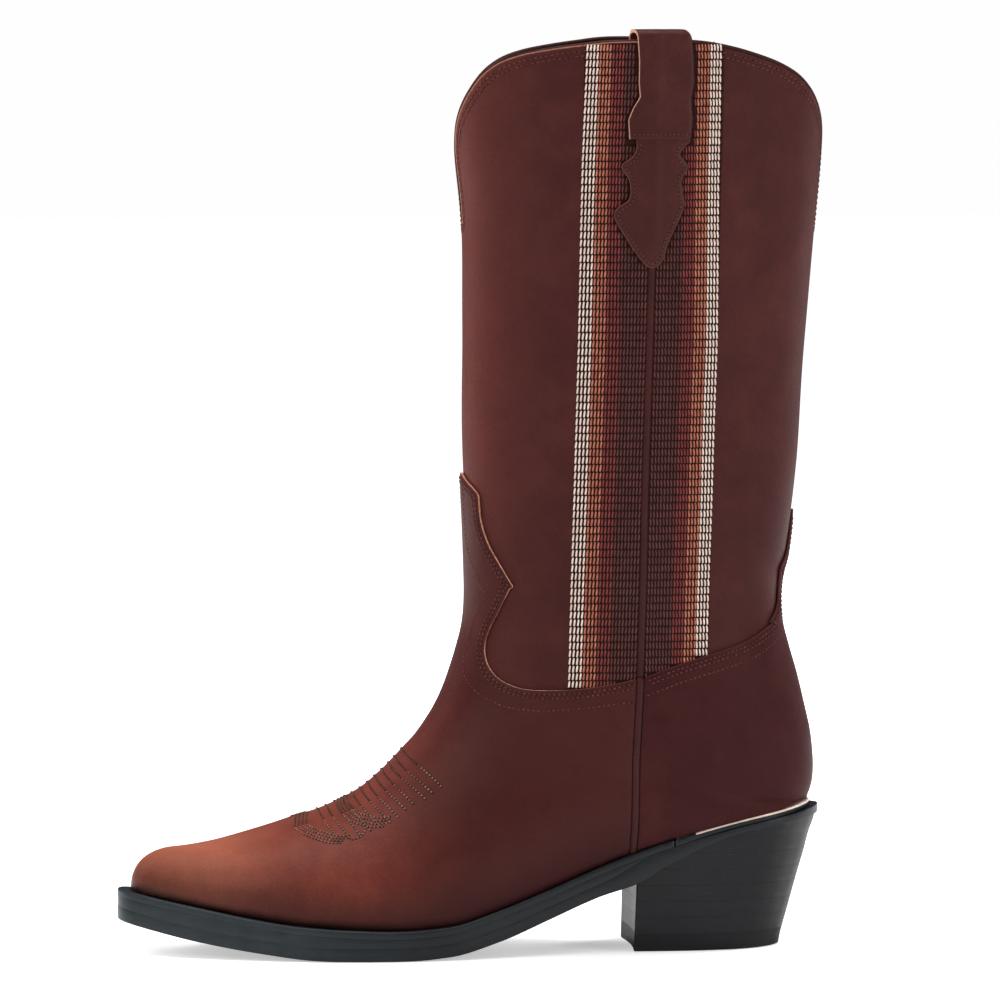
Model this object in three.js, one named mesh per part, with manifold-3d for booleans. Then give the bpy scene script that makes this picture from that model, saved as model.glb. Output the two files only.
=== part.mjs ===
// Cowboy boot, left foot: pointed toe, under-slung stacked heel, short shaft.
// Millimetres, +Z up. Toe points to -X, heel to +X, the outer (lateral) side
// faces -Y. The origin ends up on the ground at the centre of the bounding box.
//
// The upper is one smooth surface swept by a fan of sections: level sections
// up the shaft, turning round the instep, and nearly upright ones along the
// foot. Every leather layer is this surface offset along its normal:
//   lining -2.9 .. -1.9, shaft leather and stiffeners -1.6 .. 0,
//   vamp, counter, tabs and pull straps +0.3 and outwards.

import * as THREE from 'three';
import { mergeVertices, toCreasedNormals } from 'three/addons/utils/BufferGeometryUtils.js';
import { LoftGeometry } from 'three/addons/geometries/LoftGeometry.js';
import Module from 'manifold-3d';

const wasm = await Module();
wasm.setup();

const boot = new THREE.Group();
boot.name = 'cowboy_boot';

// ---------------------------------------------------------------- dimensions
const GAP = 0.3;                     // clearance between neighbouring pieces
const FLOOR_GAP = GAP + 0.05;        // sole to linings and insole, insole to sock liner

// layers, as offsets from the surface of the upper
const LINING_IN = -2.9, LINING_OUT = -1.9;
const SHAFT_IN = -1.6, SHAFT_OUT = 0;
const OVER_IN = 0.3, OVER_OUT = 1.6; // vamp and counter, sewn over the shaft
const STRAP_IN = 0.3, STRAP_OUT = 1.9;

const SECTION_POWER = 0.92;          // a little fuller than an ellipse
const AROUND = 24;                   // facets round a section
const SKIRT = 14;                    // how far an inner body reaches below the open bottom
const OPENING_BLEND = 8;             // bottom half width over which skirt and normals blend in

const ANKLE_Z = 114;                 // where the side seam passes from foot to shaft
const SEAM_TOP_Z = 372.8;
const SEAM_LEAN = 8;                 // how far back the inner side's seam ends at the top
const SEAM_HALF = 1.8;               // half the slot that holds the side piping
const LINING_SEAM_HALF = 0.15;
const TOPLINE_Z = 373.4;
const LINING_SPLIT_Z = 96;           // the shaft linings end here, the foot linings start

const PIPING_HALF_WIDTH = 1.5, PIPING_HALF_DEPTH = 1.2, PIPING_LEVEL = -0.4;
const FOOT_PIPING_RAISE = 1.3;       // the foot piping lies further out
const PIPING_TOP_Z = 371.5;
const BEAD_RADIUS = 0.85;
const BEAD_LEVEL = (LINING_IN + SHAFT_OUT) / 2;

const SOLE_END = 145.3;              // x of the back of the sole
const WELT_RING = 11.5;              // width of the welt strip
const RING_END = 82;                 // the welt ends here, the heel rand starts
const MIDSOLE_END = 76;
const INSOLE_T = 2.5, SOCK_T = 1.3;
const SHANK = { from: -8, to: 104, half: 6.5, thickness: 1.3, drop: 0.1 };

const BREAST_X = 65.8;               // front face of the heel at the ground
const HEEL_CAP_TOP = 7.2, LIFT_TOP = 54.5, LIFTS = 7;
const CAP_HOLE_TOP = 13.6;
const NAIL = { radius: 1.1, headRadius: 2.2, bottom: 12, rise: 2.6 };
const CAP_NAIL = { radius: 0.8, headRadius: 1.7, bottom: 0.25, top: 13.2 };
const NAIL_HEAD_T = 0.9;
const PEG_RADIUS = 1;

// fastener places: [x, y]
const NAILS = [[92, -14], [92, 14], [114, -13], [114, 13]];
const CAP_NAILS = [[76, -16], [76, 16], [98, -17], [98, 17], [119, 0]];
const PEGS = [[14, -27], [30, -24.5], [46, -22.5], [14, 22.5], [30, 20.5], [46, 19.5]];

// limits of the cutting prisms, all clear of the boot
const FAR_X = 220, FAR_Y = 80;
const LOW_Z = -20, MID_Z = 200, HIGH_Z = 420;
const PLAN_BOTTOM = -5, PLAN_TOP = 90;
const SHAFT_CUT = [60, 400];         // levels of the shaft's seam cuts
const LINING_CUT_TOP = 430;
const HEEL_CUT_X = [40, 170];

const SIDES = [{ label: 'lateral', side: -1 }, { label: 'medial', side: 1 }];

// -------------------------------------------------------------------- tables
// top edge of the sole along its length: [x, z]
const SOLE_TOP = [[-146, 26.6], [-140, 25.6], [-128.5, 23.4], [-113, 20.6], [-89, 16.2],
  [-73, 14.1], [-53, 12.8], [-33, 12.2], [-12, 13.6], [8.8, 19.4], [30.2, 27.3], [51, 35.9],
  [64.4, 41.1], [88.3, 48.8], [113.2, 55.2], [139.4, 60.1], [146, 61.3]];
// underside of the sole: [x, z]
const SOLE_UNDER = [[-146, 13.8], [-137, 11.6], [-113, 6.5], [-89, 2.7], [-66, 0.2], [-58, 0],
  [-44, 0], [-30, 0], [-12, 1.2], [9, 6.6], [30, 14.9], [51, 23.6], [66, 28.5], [80, 36.5],
  [95, 44], [106, 48.4], [125, 52.2], [144, 54.8], [147, 55.2]];
// sole outline: [x, half width on the outer side, half width on the inner side]
const SOLE_PLAN = [[-145.3, 0, 0], [-144.5, 5, 5], [-142, 9.5, 9.2], [-137, 13.7, 12.9],
  [-130, 18.3, 17.2], [-121, 23.5, 22], [-108.5, 29, 27.5], [-93, 34.8, 33.2],
  [-76, 40.2, 38.5], [-57, 44.8, 42.6], [-36, 46.5, 43], [-13, 44, 39], [12, 38, 32.5],
  [40, 32, 28], [68, 30, 29], [93, 30.8, 30.4], [113, 30.4, 30.2], [125, 27.8, 27.6],
  [133, 23, 23], [139, 16.5, 16.5], [143, 9.5, 9.5], [SOLE_END, 0, 0]];
// thickness along the length: [x, thickness]
const WELT_T = [[-160, 3.2], [66, 3.2], [106, 2.6], [150, 2.6]];
const OUTSOLE_T = [[-160, 5.4], [40, 5.2], [66, 4.8], [95, 2.4], [106, 1.9], [150, 1.9]];
// heel: [z, x of the back, half width]
const HEEL = [[0, 129, 24], [5, 130, 24.3], [12, 132, 24.9], [20, 134.2, 25.6],
  [30, 137, 26.7], [38.4, 139.5, 27.8], [46.7, 141.6, 29], [52, 143.6, 29.8], [60, 145.3, 30.6]];
// side seam: [z, x]
const SEAM = [[30, 64.5], [41.6, 64.7], [80.5, 65.2], [111.4, 66.7], [146.3, 67.8],
  [187.4, 68.4], [228.3, 69.5], [283.4, 70.8], [SEAM_TOP_Z, 72.4], [390, 72.8]];

// Fan of sections, from the top of the shaft to the toe. Each row: front (or
// top) point x, z; back (or bottom) point x, z (null: just above the sole);
// half width outer, inner; half width of the open bottom outer, inner (0 for a
// section that closes on itself).
const ROWS = [
  [-10.5, 384, 149.5, 384, 44.5, 44.5, 0, 0], [-9, 366, 148.2, 366, 44, 44, 0, 0],
  [-6.4, 330, 146.2, 330, 42.8, 42.8, 0, 0], [-3.1, 298, 143, 298, 41.8, 41.8, 0, 0],
  [-2.7, 260, 139.8, 260, 40.6, 40.6, 0, 0], [-2.7, 225, 137.3, 225, 39.6, 39.6, 0, 0],
  [-1.8, 192, 134.9, 192, 38.8, 38.8, 0, 0], [-0.9, 166, 131.6, 166, 38, 38, 0, 0],
  [-0.4, 147, 128.3, 149, 37.4, 37.4, 0, 0], [-1.3, 134.5, 128.8, 135, 37, 37, 0, 0],
  [-3.6, 124.5, 131.4, 124, 36.8, 36.6, 0, 0], [-6.7, 114.5, 134.9, 112, 36.5, 36.2, 0, 0],
  [-10.2, 105.5, 138.2, 99, 36.2, 35.8, 0, 0], [-14, 98, 140.9, 87, 36, 35.5, 0, 0],
  [-17.5, 92.5, 142.1, 76, 35.8, 35.2, 0, 0], [-19.8, 89.2, 142, 67.5, 35.7, 35, 0, 0],
  [-21, 87.6, 140.2, 62.4, 35.6, 34.9, 0.01, 0.01],
  [-22, 86.4, 136.5, null, 35.6, 34.9, 10.5, 10.5],
  [-23.2, 85.1, 132, null, 35.7, 34.9, 18, 18],
  [-24.8, 83.5, 125, null, 35.8, 34.9, 23.6, 23.6],
  [-27.2, 81, 113, null, 35.8, 34.8, 27, 27], [-31, 77, 93, null, 35.6, 34.3, 28, 27.6],
  [-36.5, 71.6, 68, null, 35.6, 33.8, 26.4, 25.4], [-44, 65.3, 40, null, 37, 34.2, 27.8, 24],
  [-53.1, 60.2, 12, null, 39.4, 36, 33.2, 27.8], [-62.5, 56.3, -13, null, 41.6, 38, 38.6, 33.6],
  [-72.5, 53.4, -36, null, 42.6, 39.6, 41, 37.5], [-83, 50, -57, null, 41, 39, 39.4, 37.4],
  [-94, 46.8, -76, null, 36.6, 35, 35, 33.5], [-105, 44, -93, null, 31, 29.6, 29.6, 28.1],
  [-116, 42.1, -108.5, null, 25.5, 24.1, 24.1, 22.7],
  [-125, 41, -121, null, 19.9, 18.7, 18.7, 17.5],
  [-131, 38.8, -130, null, 14.8, 13.9, 13.8, 12.9],
  [-135, 35.6, -135.3, null, 10.2, 9.6, 9.5, 9],
  [-137.3, 31.5, -137.6, null, 5.9, 5.6, 5.5, 5.2],
  [-138.1, 27.6, -138.2, null, 0.9, 0.9, 0.8, 0.8],
];
// rows that shape the surface but carry no ring of vertices
const UNSKINNED_ROWS = [1, 5, 9, 11, 13, 15, 19, 21, 27, 29, 32];

// edge of the vamp seen from the side, from the side seam to the instep: [x, z]
const VAMP_SIDE = [[66.7, 114.4], [54.2, 112.1], [40, 110.4], [28, 110.3], [16.9, 111.7],
  [9.5, 115.1], [5.7, 121], [5.5, 128.2], [7.8, 136.5], [11.3, 143.7], [14.3, 150.8]];
// tongue of the vamp seen from the front: [half width, z]
const VAMP_FRONT = [[26.5, 150.8], [23.8, 160.1], [20.6, 168.1], [16.8, 182.2],
  [13.7, 191.4], [9, 195.8], [4.5, 198], [0, 198.8]];
// edge of the counter from the side seam backwards: [x, z]
const COUNTER_SIDE = [[66.5, 113.6], [83.1, 119.5], [100.1, 124.3], [113.4, 128.6], [124, 135]];
// peak of the counter seen from behind: [half width, z]
const COUNTER_BACK = [[17.5, 135], [13.6, 138.5], [9.6, 143], [8.6, 148], [10, 153],
  [11.2, 157.5], [8, 161], [5, 166], [3.2, 175], [0, 181]];
// side-view outlines that hold the shaft leathers, closed round the lower edge: [x, z]
const SHAFT_FRONT_OUTLINE = [[-FAR_X, 180], [-20, 184], [2, 178], [4, 166], [6, 150],
  [-2, 136], [-6, 120], [2, 106], [20, 100], [70, 102], [100, 102], [100, HIGH_Z],
  [-FAR_X, HIGH_Z]];
const SHAFT_BACK_OUTLINE = [[40, 101], [66, 101], [84, 107], [101, 112], [116, 117.5],
  [128, 124], [FAR_X, 130], [FAR_X, HIGH_Z], [40, HIGH_Z]];
// edge of the shaft top seen from the front and from behind: [half width, z]
const DIP_FRONT = [[0, 298.4], [2.6, 299.3], [4.4, 302.5], [5.4, 308], [6.2, 316], [7.8, 326],
  [10.8, 333.4], [13.5, 338.6], [16.5, 343], [20, 347.8], [23.8, 353], [28.6, 359.8],
  [32.8, 364.6], [36.7, 367.8], [40.6, 370.3], [43, 372.1], [44.1, TOPLINE_Z], [60, TOPLINE_Z]];
const DIP_BACK = [[0, 298.4], [2.4, 299.3], [4, 302.5], [4.7, 308], [5.1, 316], [5.8, 326],
  [8.4, 335], [11.2, 339.8], [14.6, 344.2], [18, 348.6], [22, 353.6], [27, 359.2],
  [32.2, 363.8], [36.8, 367.6], [40.8, 371.2], [42.8, 372.9], [44, TOPLINE_Z], [60, TOPLINE_Z]];
const DIP_STEPS = 20;
// back edge of the toe box and front edge of the counter stiffener: [x, z]
const TOE_BOX_EDGE = [[-98, 0], [-97, 20], [-92, 34], [-88, 44], [-87, 60]];
const STIFFENER_EDGE = [[150, 99], [120, 98], [98, 88], [84, 70], [78, 52], [77, 40]];
// shield-shaped tab under the pull strap, seen from the side: [x, z]
const TAB = [[64.4, 334.2], [64.4, 330.6], [62.4, 327], [58.4, 323.7], [61.2, 318.8],
  [62.1, 314.8], [61.3, 309.9], [55.6, 304.2], [61, 293.6], [67.1, 284.9], [70.8, 282.6],
  [74.4, 285.2], [79, 293.5], [84.7, 304.1], [85.9, 311], [85.1, 317.9], [86.7, 323.2],
  [84.6, 329.3], [85.6, 334.2]];
// pull strap: [z, x of the front edge, x of the back edge]
const STRAP = [[335, 61.2, 87], [342.4, 60.7, 87.8], [347.3, 62.7, 87.4], [351.7, 65.4, 87.2],
  [357, 64.9, 88.4], [366.7, 65, 88.2], [375, 64.4, 87.4], [381, 64, 86]];
const STRAP_CREST = 380.2;
const STRAP_SKEW = 3;                // the outer side's strap is this far forward on the inside
const STRAP_SPREAD = 0.03;           // outward lean above the highest surface level used
const STRAP_SURFACE_TOP = 372;

// ------------------------------------------------------------------ finishes
const FINISH = {
  vamp: { color: 0x6b3a35, roughness: 0.38 },
  counter: { color: 0x452527, roughness: 0.42 },
  shaft: { color: 0x4d2a2b, roughness: 0.4 },
  shaftLining: { color: 0xb98a5e, roughness: 0.7 },
  footLining: { color: 0xb08457, roughness: 0.75 },
  stiffener: { color: 0x8d7a5c, roughness: 0.8 },
  sidePiping: { color: 0x43262a, roughness: 0.4 },
  footPiping: { color: 0x3c2024, roughness: 0.4 },
  tab: { color: 0x492b2c, roughness: 0.42 },
  strap: { color: 0x4a2c2e, roughness: 0.42 },
  bead: { color: 0x2a1718, roughness: 0.5 },
  welt: { color: 0x33302f, roughness: 0.5 },
  rand: { color: 0xb9a184, roughness: 0.55 },
  filler: { color: 0x8a6b45, roughness: 0.95 },
  shank: { color: 0x7d8083, roughness: 0.35, metalness: 0.9 },
  insole: { color: 0xa98a63, roughness: 0.85 },
  sock: { color: 0xb58d60, roughness: 0.7 },
  midsole: { color: 0x3b3432, roughness: 0.5 },
  outsole: { color: 0x2f3033, roughness: 0.42 },
  peg: { color: 0xc9a873, roughness: 0.7 },
  heelCap: { color: 0x232427, roughness: 0.65 },
  liftLight: { color: 0x34313a, roughness: 0.45 },
  liftDark: { color: 0x2f2d30, roughness: 0.45 },
  nail: { color: 0x8b8d90, roughness: 0.4, metalness: 0.9 },
  capNail: { color: 0xb0893f, roughness: 0.35, metalness: 0.9 },
};

// ------------------------------------------------------------ numbers, curves
const clamp = (value, low, high) => Math.max(low, Math.min(high, value));
const last = (list) => list[list.length - 1];
const reversed = (list) => list.slice().reverse();
// count + 1 evenly spaced numbers
const spaced = (from, to, count) =>
  Array.from({ length: count + 1 }, (_, i) => from + ((to - from) * i) / count);

// straight-line reading of a table, held constant beyond its ends
function lerpTable(rows, x, column = 1) {
  if (x <= rows[0][0]) return rows[0][column];
  const i = rows.findIndex((row) => x <= row[0]);
  if (i < 0) return last(rows)[column];
  const [before, after] = [rows[i - 1], rows[i]];
  const f = (x - before[0]) / (after[0] - before[0]);
  return before[column] + f * (after[column] - before[column]);
}

// smooth, overshoot-free curve through a table, held constant beyond its ends
function smoothTable(rows) {
  const n = rows.length, widths = [], slopes = [], tangents = [];
  for (let i = 0; i < n - 1; i++) {
    widths.push(rows[i + 1][0] - rows[i][0]);
    slopes.push((rows[i + 1][1] - rows[i][1]) / widths[i]);
  }
  tangents[0] = slopes[0];
  tangents[n - 1] = slopes[n - 2];
  for (let i = 1; i < n - 1; i++) {
    const weight1 = 2 * widths[i] + widths[i - 1], weight2 = widths[i] + 2 * widths[i - 1];
    tangents[i] = slopes[i - 1] * slopes[i] <= 0 ? 0
      : (weight1 + weight2) / (weight1 / slopes[i - 1] + weight2 / slopes[i]);
  }
  return (position) => {
    const x = clamp(position, rows[0][0], rows[n - 1][0]);
    let i = 0;
    while (i < n - 2 && x > rows[i + 1][0]) i++;
    const t = (x - rows[i][0]) / widths[i], t2 = t * t, t3 = t2 * t;
    return (2 * t3 - 3 * t2 + 1) * rows[i][1] + (t3 - 2 * t2 + t) * widths[i] * tangents[i]
      + (3 * t2 - 2 * t3) * rows[i + 1][1] + (t3 - t2) * widths[i] * tangents[i + 1];
  };
}

const vectors2 = (points) => points.map(([a, b]) => new THREE.Vector2(a, b));
const spline = (points, count) =>
  new THREE.SplineCurve(vectors2(points)).getSpacedPoints(count).map((p) => [p.x, p.y]);
// half outline with its mirror image in the first coordinate
const mirrored = (half) =>
  [...half, ...reversed(half).filter(([y]) => y !== 0).map(([y, z]) => [-y, z])];

const soleTop = smoothTable(SOLE_TOP);
const soleUnder = smoothTable(SOLE_UNDER);

// the inner side's seam leans back a little towards the top
const seamShift = (z, side) =>
  (side > 0 ? SEAM_LEAN * clamp((z - ANKLE_Z) / (SEAM_TOP_Z - ANKLE_Z), 0, 1) : 0);
const seamX = (z, side = -1) => lerpTable(SEAM, z) + seamShift(z, side);

// ------------------------------------------------------ surface of the upper
const rowsFilled = ROWS.map((row) => row.map((value) => value ?? soleTop(row[2]) + GAP));
const LAST = rowsFilled.length - 1;

// section at a fractional row number
function sectionAt(position) {
  const t = clamp(position, 0, LAST - 1e-9);
  const i = Math.floor(t), f = t - i;
  const p0 = rowsFilled[Math.max(i - 1, 0)], p1 = rowsFilled[i];
  const p2 = rowsFilled[Math.min(i + 1, LAST)], p3 = rowsFilled[Math.min(i + 2, LAST)];
  const [frontX, frontZ, backX, backZ, outerHalf, innerHalf, outerOpen, innerOpen] = p1.map(
    (_, k) => 0.5 * (2 * p1[k] + (p2[k] - p0[k]) * f
      + (2 * p0[k] - 5 * p1[k] + 4 * p2[k] - p3[k]) * f * f
      + (3 * p1[k] - p0[k] - 3 * p2[k] + p3[k]) * f * f * f));
  return { frontX, frontZ, backX, backZ, outerHalf, innerHalf, outerOpen, innerOpen };
}

// half width of one side of a section, and the angle at which its arc ends
function sideArc(section, side) {
  const halfWidth = side < 0 ? section.outerHalf : section.innerHalf;
  const open = Math.max(side < 0 ? section.outerOpen : section.innerOpen, 0);
  const openSine = Math.pow(Math.min(open / halfWidth, 0.999), 1 / SECTION_POWER);
  return { halfWidth, endAngle: (Math.PI / 2) * (2 - (2 / Math.PI) * Math.asin(openSine)) };
}

// point of the upper's surface: t runs from the top of the shaft to the toe,
// u from -1 (bottom, outer side) over 0 (front, instep) to +1 (bottom, inner side)
function surfacePoint(t, u) {
  const section = sectionAt(t), { frontX, frontZ, backX, backZ } = section;
  const { halfWidth, endAngle } = sideArc(section, u);
  const angle = endAngle * Math.min(Math.abs(u), 1);
  const s = (1 - Math.cos(angle)) / (1 - Math.cos(endAngle));
  const y = Math.sign(u) * halfWidth * Math.pow(Math.max(Math.sin(angle), 0), SECTION_POWER);
  return new THREE.Vector3(frontX + (backX - frontX) * s, y, frontZ + (backZ - frontZ) * s);
}

function normalAt(t, u) {
  const h = 1e-3;
  const alongT = surfacePoint(Math.min(t + h, LAST), u).sub(surfacePoint(Math.max(t - h, 0), u));
  const alongU = surfacePoint(t, Math.min(u + h, 1)).sub(surfacePoint(t, Math.max(u - h, -1)));
  const normal = alongU.cross(alongT).normalize();
  // on the centre line of a closed section the normal has no sideways part
  const { outerOpen, innerOpen } = sectionAt(t);
  const closed = Math.max(0, 1 - Math.max(outerOpen, innerOpen) / OPENING_BLEND);
  if (Math.abs(Math.abs(u) - 1) < 1e-6) normal.y *= 1 - closed;
  if (Math.abs(u) < 1e-6) normal.y = 0;
  return normal.normalize();
}
const offsetPoint = (t, u, offset) =>
  surfacePoint(t, u).addScaledVector(normalAt(t, u), offset);

// side view position (x, z) -> [t, u] on one side of the boot
function locate(x, z, side) {
  const step = 0.05;
  const beside = ({ frontX, frontZ, backX, backZ }) =>
    (backX - frontX) * (z - frontZ) - (backZ - frontZ) * (x - frontX);
  for (let start = 0; start < LAST; start += step) {
    const a = beside(sectionAt(start)), b = beside(sectionAt(start + step));
    if ((a >= 0) === (b >= 0)) continue;
    const t = start + step * a / (a - b), section = sectionAt(t);
    const { frontX, frontZ, backX, backZ } = section;
    const q = ((x - frontX) * (backX - frontX) + (z - frontZ) * (backZ - frontZ))
      / ((backX - frontX) ** 2 + (backZ - frontZ) ** 2);
    if (q <= -0.05 || q >= 1.05) continue;
    const { endAngle } = sideArc(section, side);
    const angle = Math.acos(1 - clamp(q, 0, 1) * (1 - Math.cos(endAngle)));
    return [t, side * angle / endAngle];
  }
  throw new Error(`no section passes through x ${x}, z ${z}`);
}

// t of the level shaft section at a height
function locateLevel(z) {
  let low = 0, high = 8;
  for (let k = 0; k < 40; k++) {
    const middle = (low + high) / 2;
    if (sectionAt(middle).frontZ > z) low = middle;
    else high = middle;
  }
  return (low + high) / 2;
}

// -------------------------------------------------------------------- solids
function signedVolume(p, triangles) {
  let volume = 0;
  for (let i = 0; i < triangles.length; i += 3) {
    const [a, b, c] = [triangles[i] * 3, triangles[i + 1] * 3, triangles[i + 2] * 3];
    volume += p[a] * (p[b + 1] * p[c + 2] - p[b + 2] * p[c + 1])
      - p[a + 1] * (p[b] * p[c + 2] - p[b + 2] * p[c])
      + p[a + 2] * (p[b] * p[c + 1] - p[b + 1] * p[c]);
  }
  return volume;
}

// closed geometry -> manifold solid, facing outwards
function solidOf(geometry) {
  const bare = new THREE.BufferGeometry().copy(geometry);
  for (const name of Object.keys(bare.attributes)) {
    if (name !== 'position') bare.deleteAttribute(name);
  }
  const merged = mergeVertices(bare, 1e-4);
  const positions = merged.attributes.position.array, index = merged.index.array;
  const triangles = [];
  for (let i = 0; i < index.length; i += 3) {
    const [a, b, c] = [index[i], index[i + 1], index[i + 2]];
    if (a !== b && b !== c && a !== c) triangles.push(a, b, c);
  }
  if (signedVolume(positions, triangles) < 0) {
    for (let i = 0; i < triangles.length; i += 3) {
      [triangles[i + 1], triangles[i + 2]] = [triangles[i + 2], triangles[i + 1]];
    }
  }
  return new wasm.Manifold(new wasm.Mesh({
    numProp: 3,
    vertProperties: new Float32Array(positions),
    triVerts: new Uint32Array(triangles),
  }));
}
function geometryOf(solid) {
  const mesh = solid.getMesh(), geometry = new THREE.BufferGeometry();
  geometry.setAttribute('position', new THREE.Float32BufferAttribute(mesh.vertProperties, 3));
  geometry.setIndex(new THREE.Uint32BufferAttribute(mesh.triVerts, 1));
  return geometry;
}
// keep only the biggest body (drops slivers left by a cut)
const biggest = (solid) =>
  solid.decompose().reduce((a, b) => (a.volume() >= b.volume() ? a : b));
const union = (solids) => solids.reduce((a, b) => a.add(b));

// skin the sections; capped ends are closed by a fan round their middle point
function loft(sections, capped = true) {
  const middle = (ring) => {
    const centre = ring.reduce((sum, p) => sum.add(p), new THREE.Vector3())
      .multiplyScalar(1 / ring.length);
    return ring.map(() => centre.clone());
  };
  const all = capped ? [middle(sections[0]), ...sections, middle(last(sections))] : sections;
  return solidOf(new LoftGeometry(all));
}
// ring of points round a centre; the axes are unit vectors
const ellipse = (centre, axis1, axis2, radius1, radius2, count) =>
  spaced(0, 2 * Math.PI, count).slice(0, -1).map((angle) => centre.clone()
    .addScaledVector(axis1, radius1 * Math.cos(angle))
    .addScaledVector(axis2, radius2 * Math.sin(angle)));

const extrude = (points, depth) => new THREE.ExtrudeGeometry(
  new THREE.Shape(vectors2(points)), { depth, bevelEnabled: false, steps: 1 });
// side-view outline (x, z) extruded from y0 to y1
const prismY = (points, y0 = -FAR_Y, y1 = FAR_Y) =>
  solidOf(extrude(points, y1 - y0).rotateX(Math.PI / 2).translate(0, y1, 0));
// front-view outline (y, z) extruded from x0 to x1
const yzxBasis = new THREE.Matrix4().makeBasis(
  new THREE.Vector3(0, 1, 0), new THREE.Vector3(0, 0, 1), new THREE.Vector3(1, 0, 0));
const prismX = (points, x0, x1) =>
  solidOf(extrude(points, x1 - x0).applyMatrix4(yzxBasis).translate(x0, 0, 0));
// plan outline (x, y) extruded through the whole bottom
const prismZ = (points) =>
  solidOf(extrude(points, PLAN_TOP - PLAN_BOTTOM).translate(0, 0, PLAN_BOTTOM));
const block = (x0, x1, z0, z1) => prismY([[x0, z0], [x1, z0], [x1, z1], [x0, z1]]);

const rod = (x, y, z0, z1, radius) => solidOf(
  new THREE.CylinderGeometry(radius, radius, z1 - z0, 8).rotateX(Math.PI / 2)
    .translate(x, y, (z0 + z1) / 2));
function nail(x, y, z0, z1, { radius, headRadius }, headUp) {
  const height = z1 - z0, tip = radius * 1.6;
  const profile = headUp
    ? [[0, 0], [radius, tip], [radius, height - NAIL_HEAD_T], [headRadius, height - NAIL_HEAD_T],
      [headRadius, height], [0, height]]
    : [[0, 0], [headRadius, 0], [headRadius, NAIL_HEAD_T], [radius, NAIL_HEAD_T],
      [radius, height - tip], [0, height]];
  return solidOf(new THREE.LatheGeometry(vectors2(profile), 8).rotateX(Math.PI / 2)
    .translate(x, y, z0));
}

function addPiece(name, solid, { color, roughness, metalness = 0 }) {
  const mesh = new THREE.Mesh(
    toCreasedNormals(geometryOf(solid), 0.6),
    new THREE.MeshStandardMaterial({ name, color, roughness, metalness }),
  );
  mesh.name = name;
  boot.add(mesh);
}

// ---------------------------------------------- solids of the offset surface
const skinnedRows = ROWS.map((_, t) => t).filter((t) => !UNSKINNED_ROWS.includes(t));
// everything inside the surface at an offset; the skirt extends its open bottom
function body(offset, skirt = 0) {
  return loft(skinnedRows.map((t) => {
    const points = spaced(-1, 1, AROUND).map((u) => offsetPoint(t, u, offset));
    const drop = skirt * Math.min(1, Math.max(0, sectionAt(t).outerOpen) / OPENING_BLEND);
    const lowered = (p) => p.clone().add(new THREE.Vector3(0, 0, -drop));
    return [...points, lowered(points[AROUND]), lowered(points[0])];
  }));
}
const layer = (inner, outer) => body(outer).subtract(body(inner, SKIRT));

const overLayer = layer(OVER_IN, OVER_OUT);
const shaftLayer = layer(SHAFT_IN, SHAFT_OUT);
const liningLayer = layer(LINING_IN, LINING_OUT);
const strapLayer = layer(STRAP_IN, STRAP_OUT);

// ------------------------------------------------------------ cutting solids
const aboveSole = (gap) => prismY([[-160, HIGH_Z],
  ...spaced(-160, 160, 22).map((x) => [x, soleTop(x) + gap]), [160, HIGH_Z]]);

// side seam from one level to another, moved along x by dx
function seamLine(z0, z1, dx, side) {
  const low = Math.min(z0, z1), high = Math.max(z0, z1);
  const between = [...SEAM.map(([z]) => z), ANKLE_Z].sort((a, b) => a - b)
    .filter((z) => z > low + 2 && z < high - 2);
  const points = [low, ...between, high].map((z) => [seamX(z, side) + dx, z]);
  return z0 < z1 ? points : points.reverse();
}
// one outline per side of the boot, overlapping at the middle
const bothSides = (outline) =>
  prismY(outline(-1), -FAR_Y, 1).add(prismY(outline(1), -1, FAR_Y));
const frontOfSeam = (z0, z1, gap) =>
  bothSides((side) => [[-FAR_X, z0], ...seamLine(z0, z1, -gap, side), [-FAR_X, z1]]);
const behindSeam = (z0, z1, gap) =>
  bothSides((side) => [[FAR_X, z1], ...seamLine(z1, z0, gap, side), [FAR_X, z0]]);

// everything above the scooped edge of the shaft top
function dipCut(dip, x0, x1) {
  const half = spline(dip, DIP_STEPS);
  return prismX([...half.map(([y, z]) => [-y, z]).reverse(), ...half.slice(1),
    [60, HIGH_Z], [-60, HIGH_Z]], x0, x1);
}
const dipFront = dipCut(DIP_FRONT, -60, 90), dipBack = dipCut(DIP_BACK, 58, 200);

const SEAM_FOOT_Z = SEAM[0][0];
// in front of the side seam and below the vamp's curved edge
function vampRegion() {
  const [, seamEndZ] = VAMP_SIDE[0], [, instepZ] = last(VAMP_SIDE);
  const edge = spline(VAMP_SIDE, 18).filter(([x]) => x < seamX(ANKLE_Z) - SEAM_HALF - 0.5);
  return prismY([[-FAR_X, 0], [seamX(SEAM_FOOT_Z) - SEAM_HALF, 0],
    ...seamLine(SEAM_FOOT_Z, seamEndZ, -SEAM_HALF), ...edge, [-FAR_X, instepZ]])
    .add(prismX(mirrored(spline(VAMP_FRONT, 11)), -60, 32));
}
// behind the side seam and below the counter's curved edge
function counterRegion() {
  const [, backZ] = last(COUNTER_SIDE);
  const edge = reversed(spline(COUNTER_SIDE, 7))
    .filter(([x]) => x > seamX(ANKLE_Z) + SEAM_HALF + 0.5);
  return prismY([[FAR_X, 0], [FAR_X, backZ], ...edge,
    ...seamLine(ANKLE_Z, SEAM_FOOT_Z, SEAM_HALF), [seamX(SEAM_FOOT_Z) + SEAM_HALF, 0]])
    .add(prismX(mirrored(spline(COUNTER_BACK, 15)), 100, 200));
}

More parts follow.
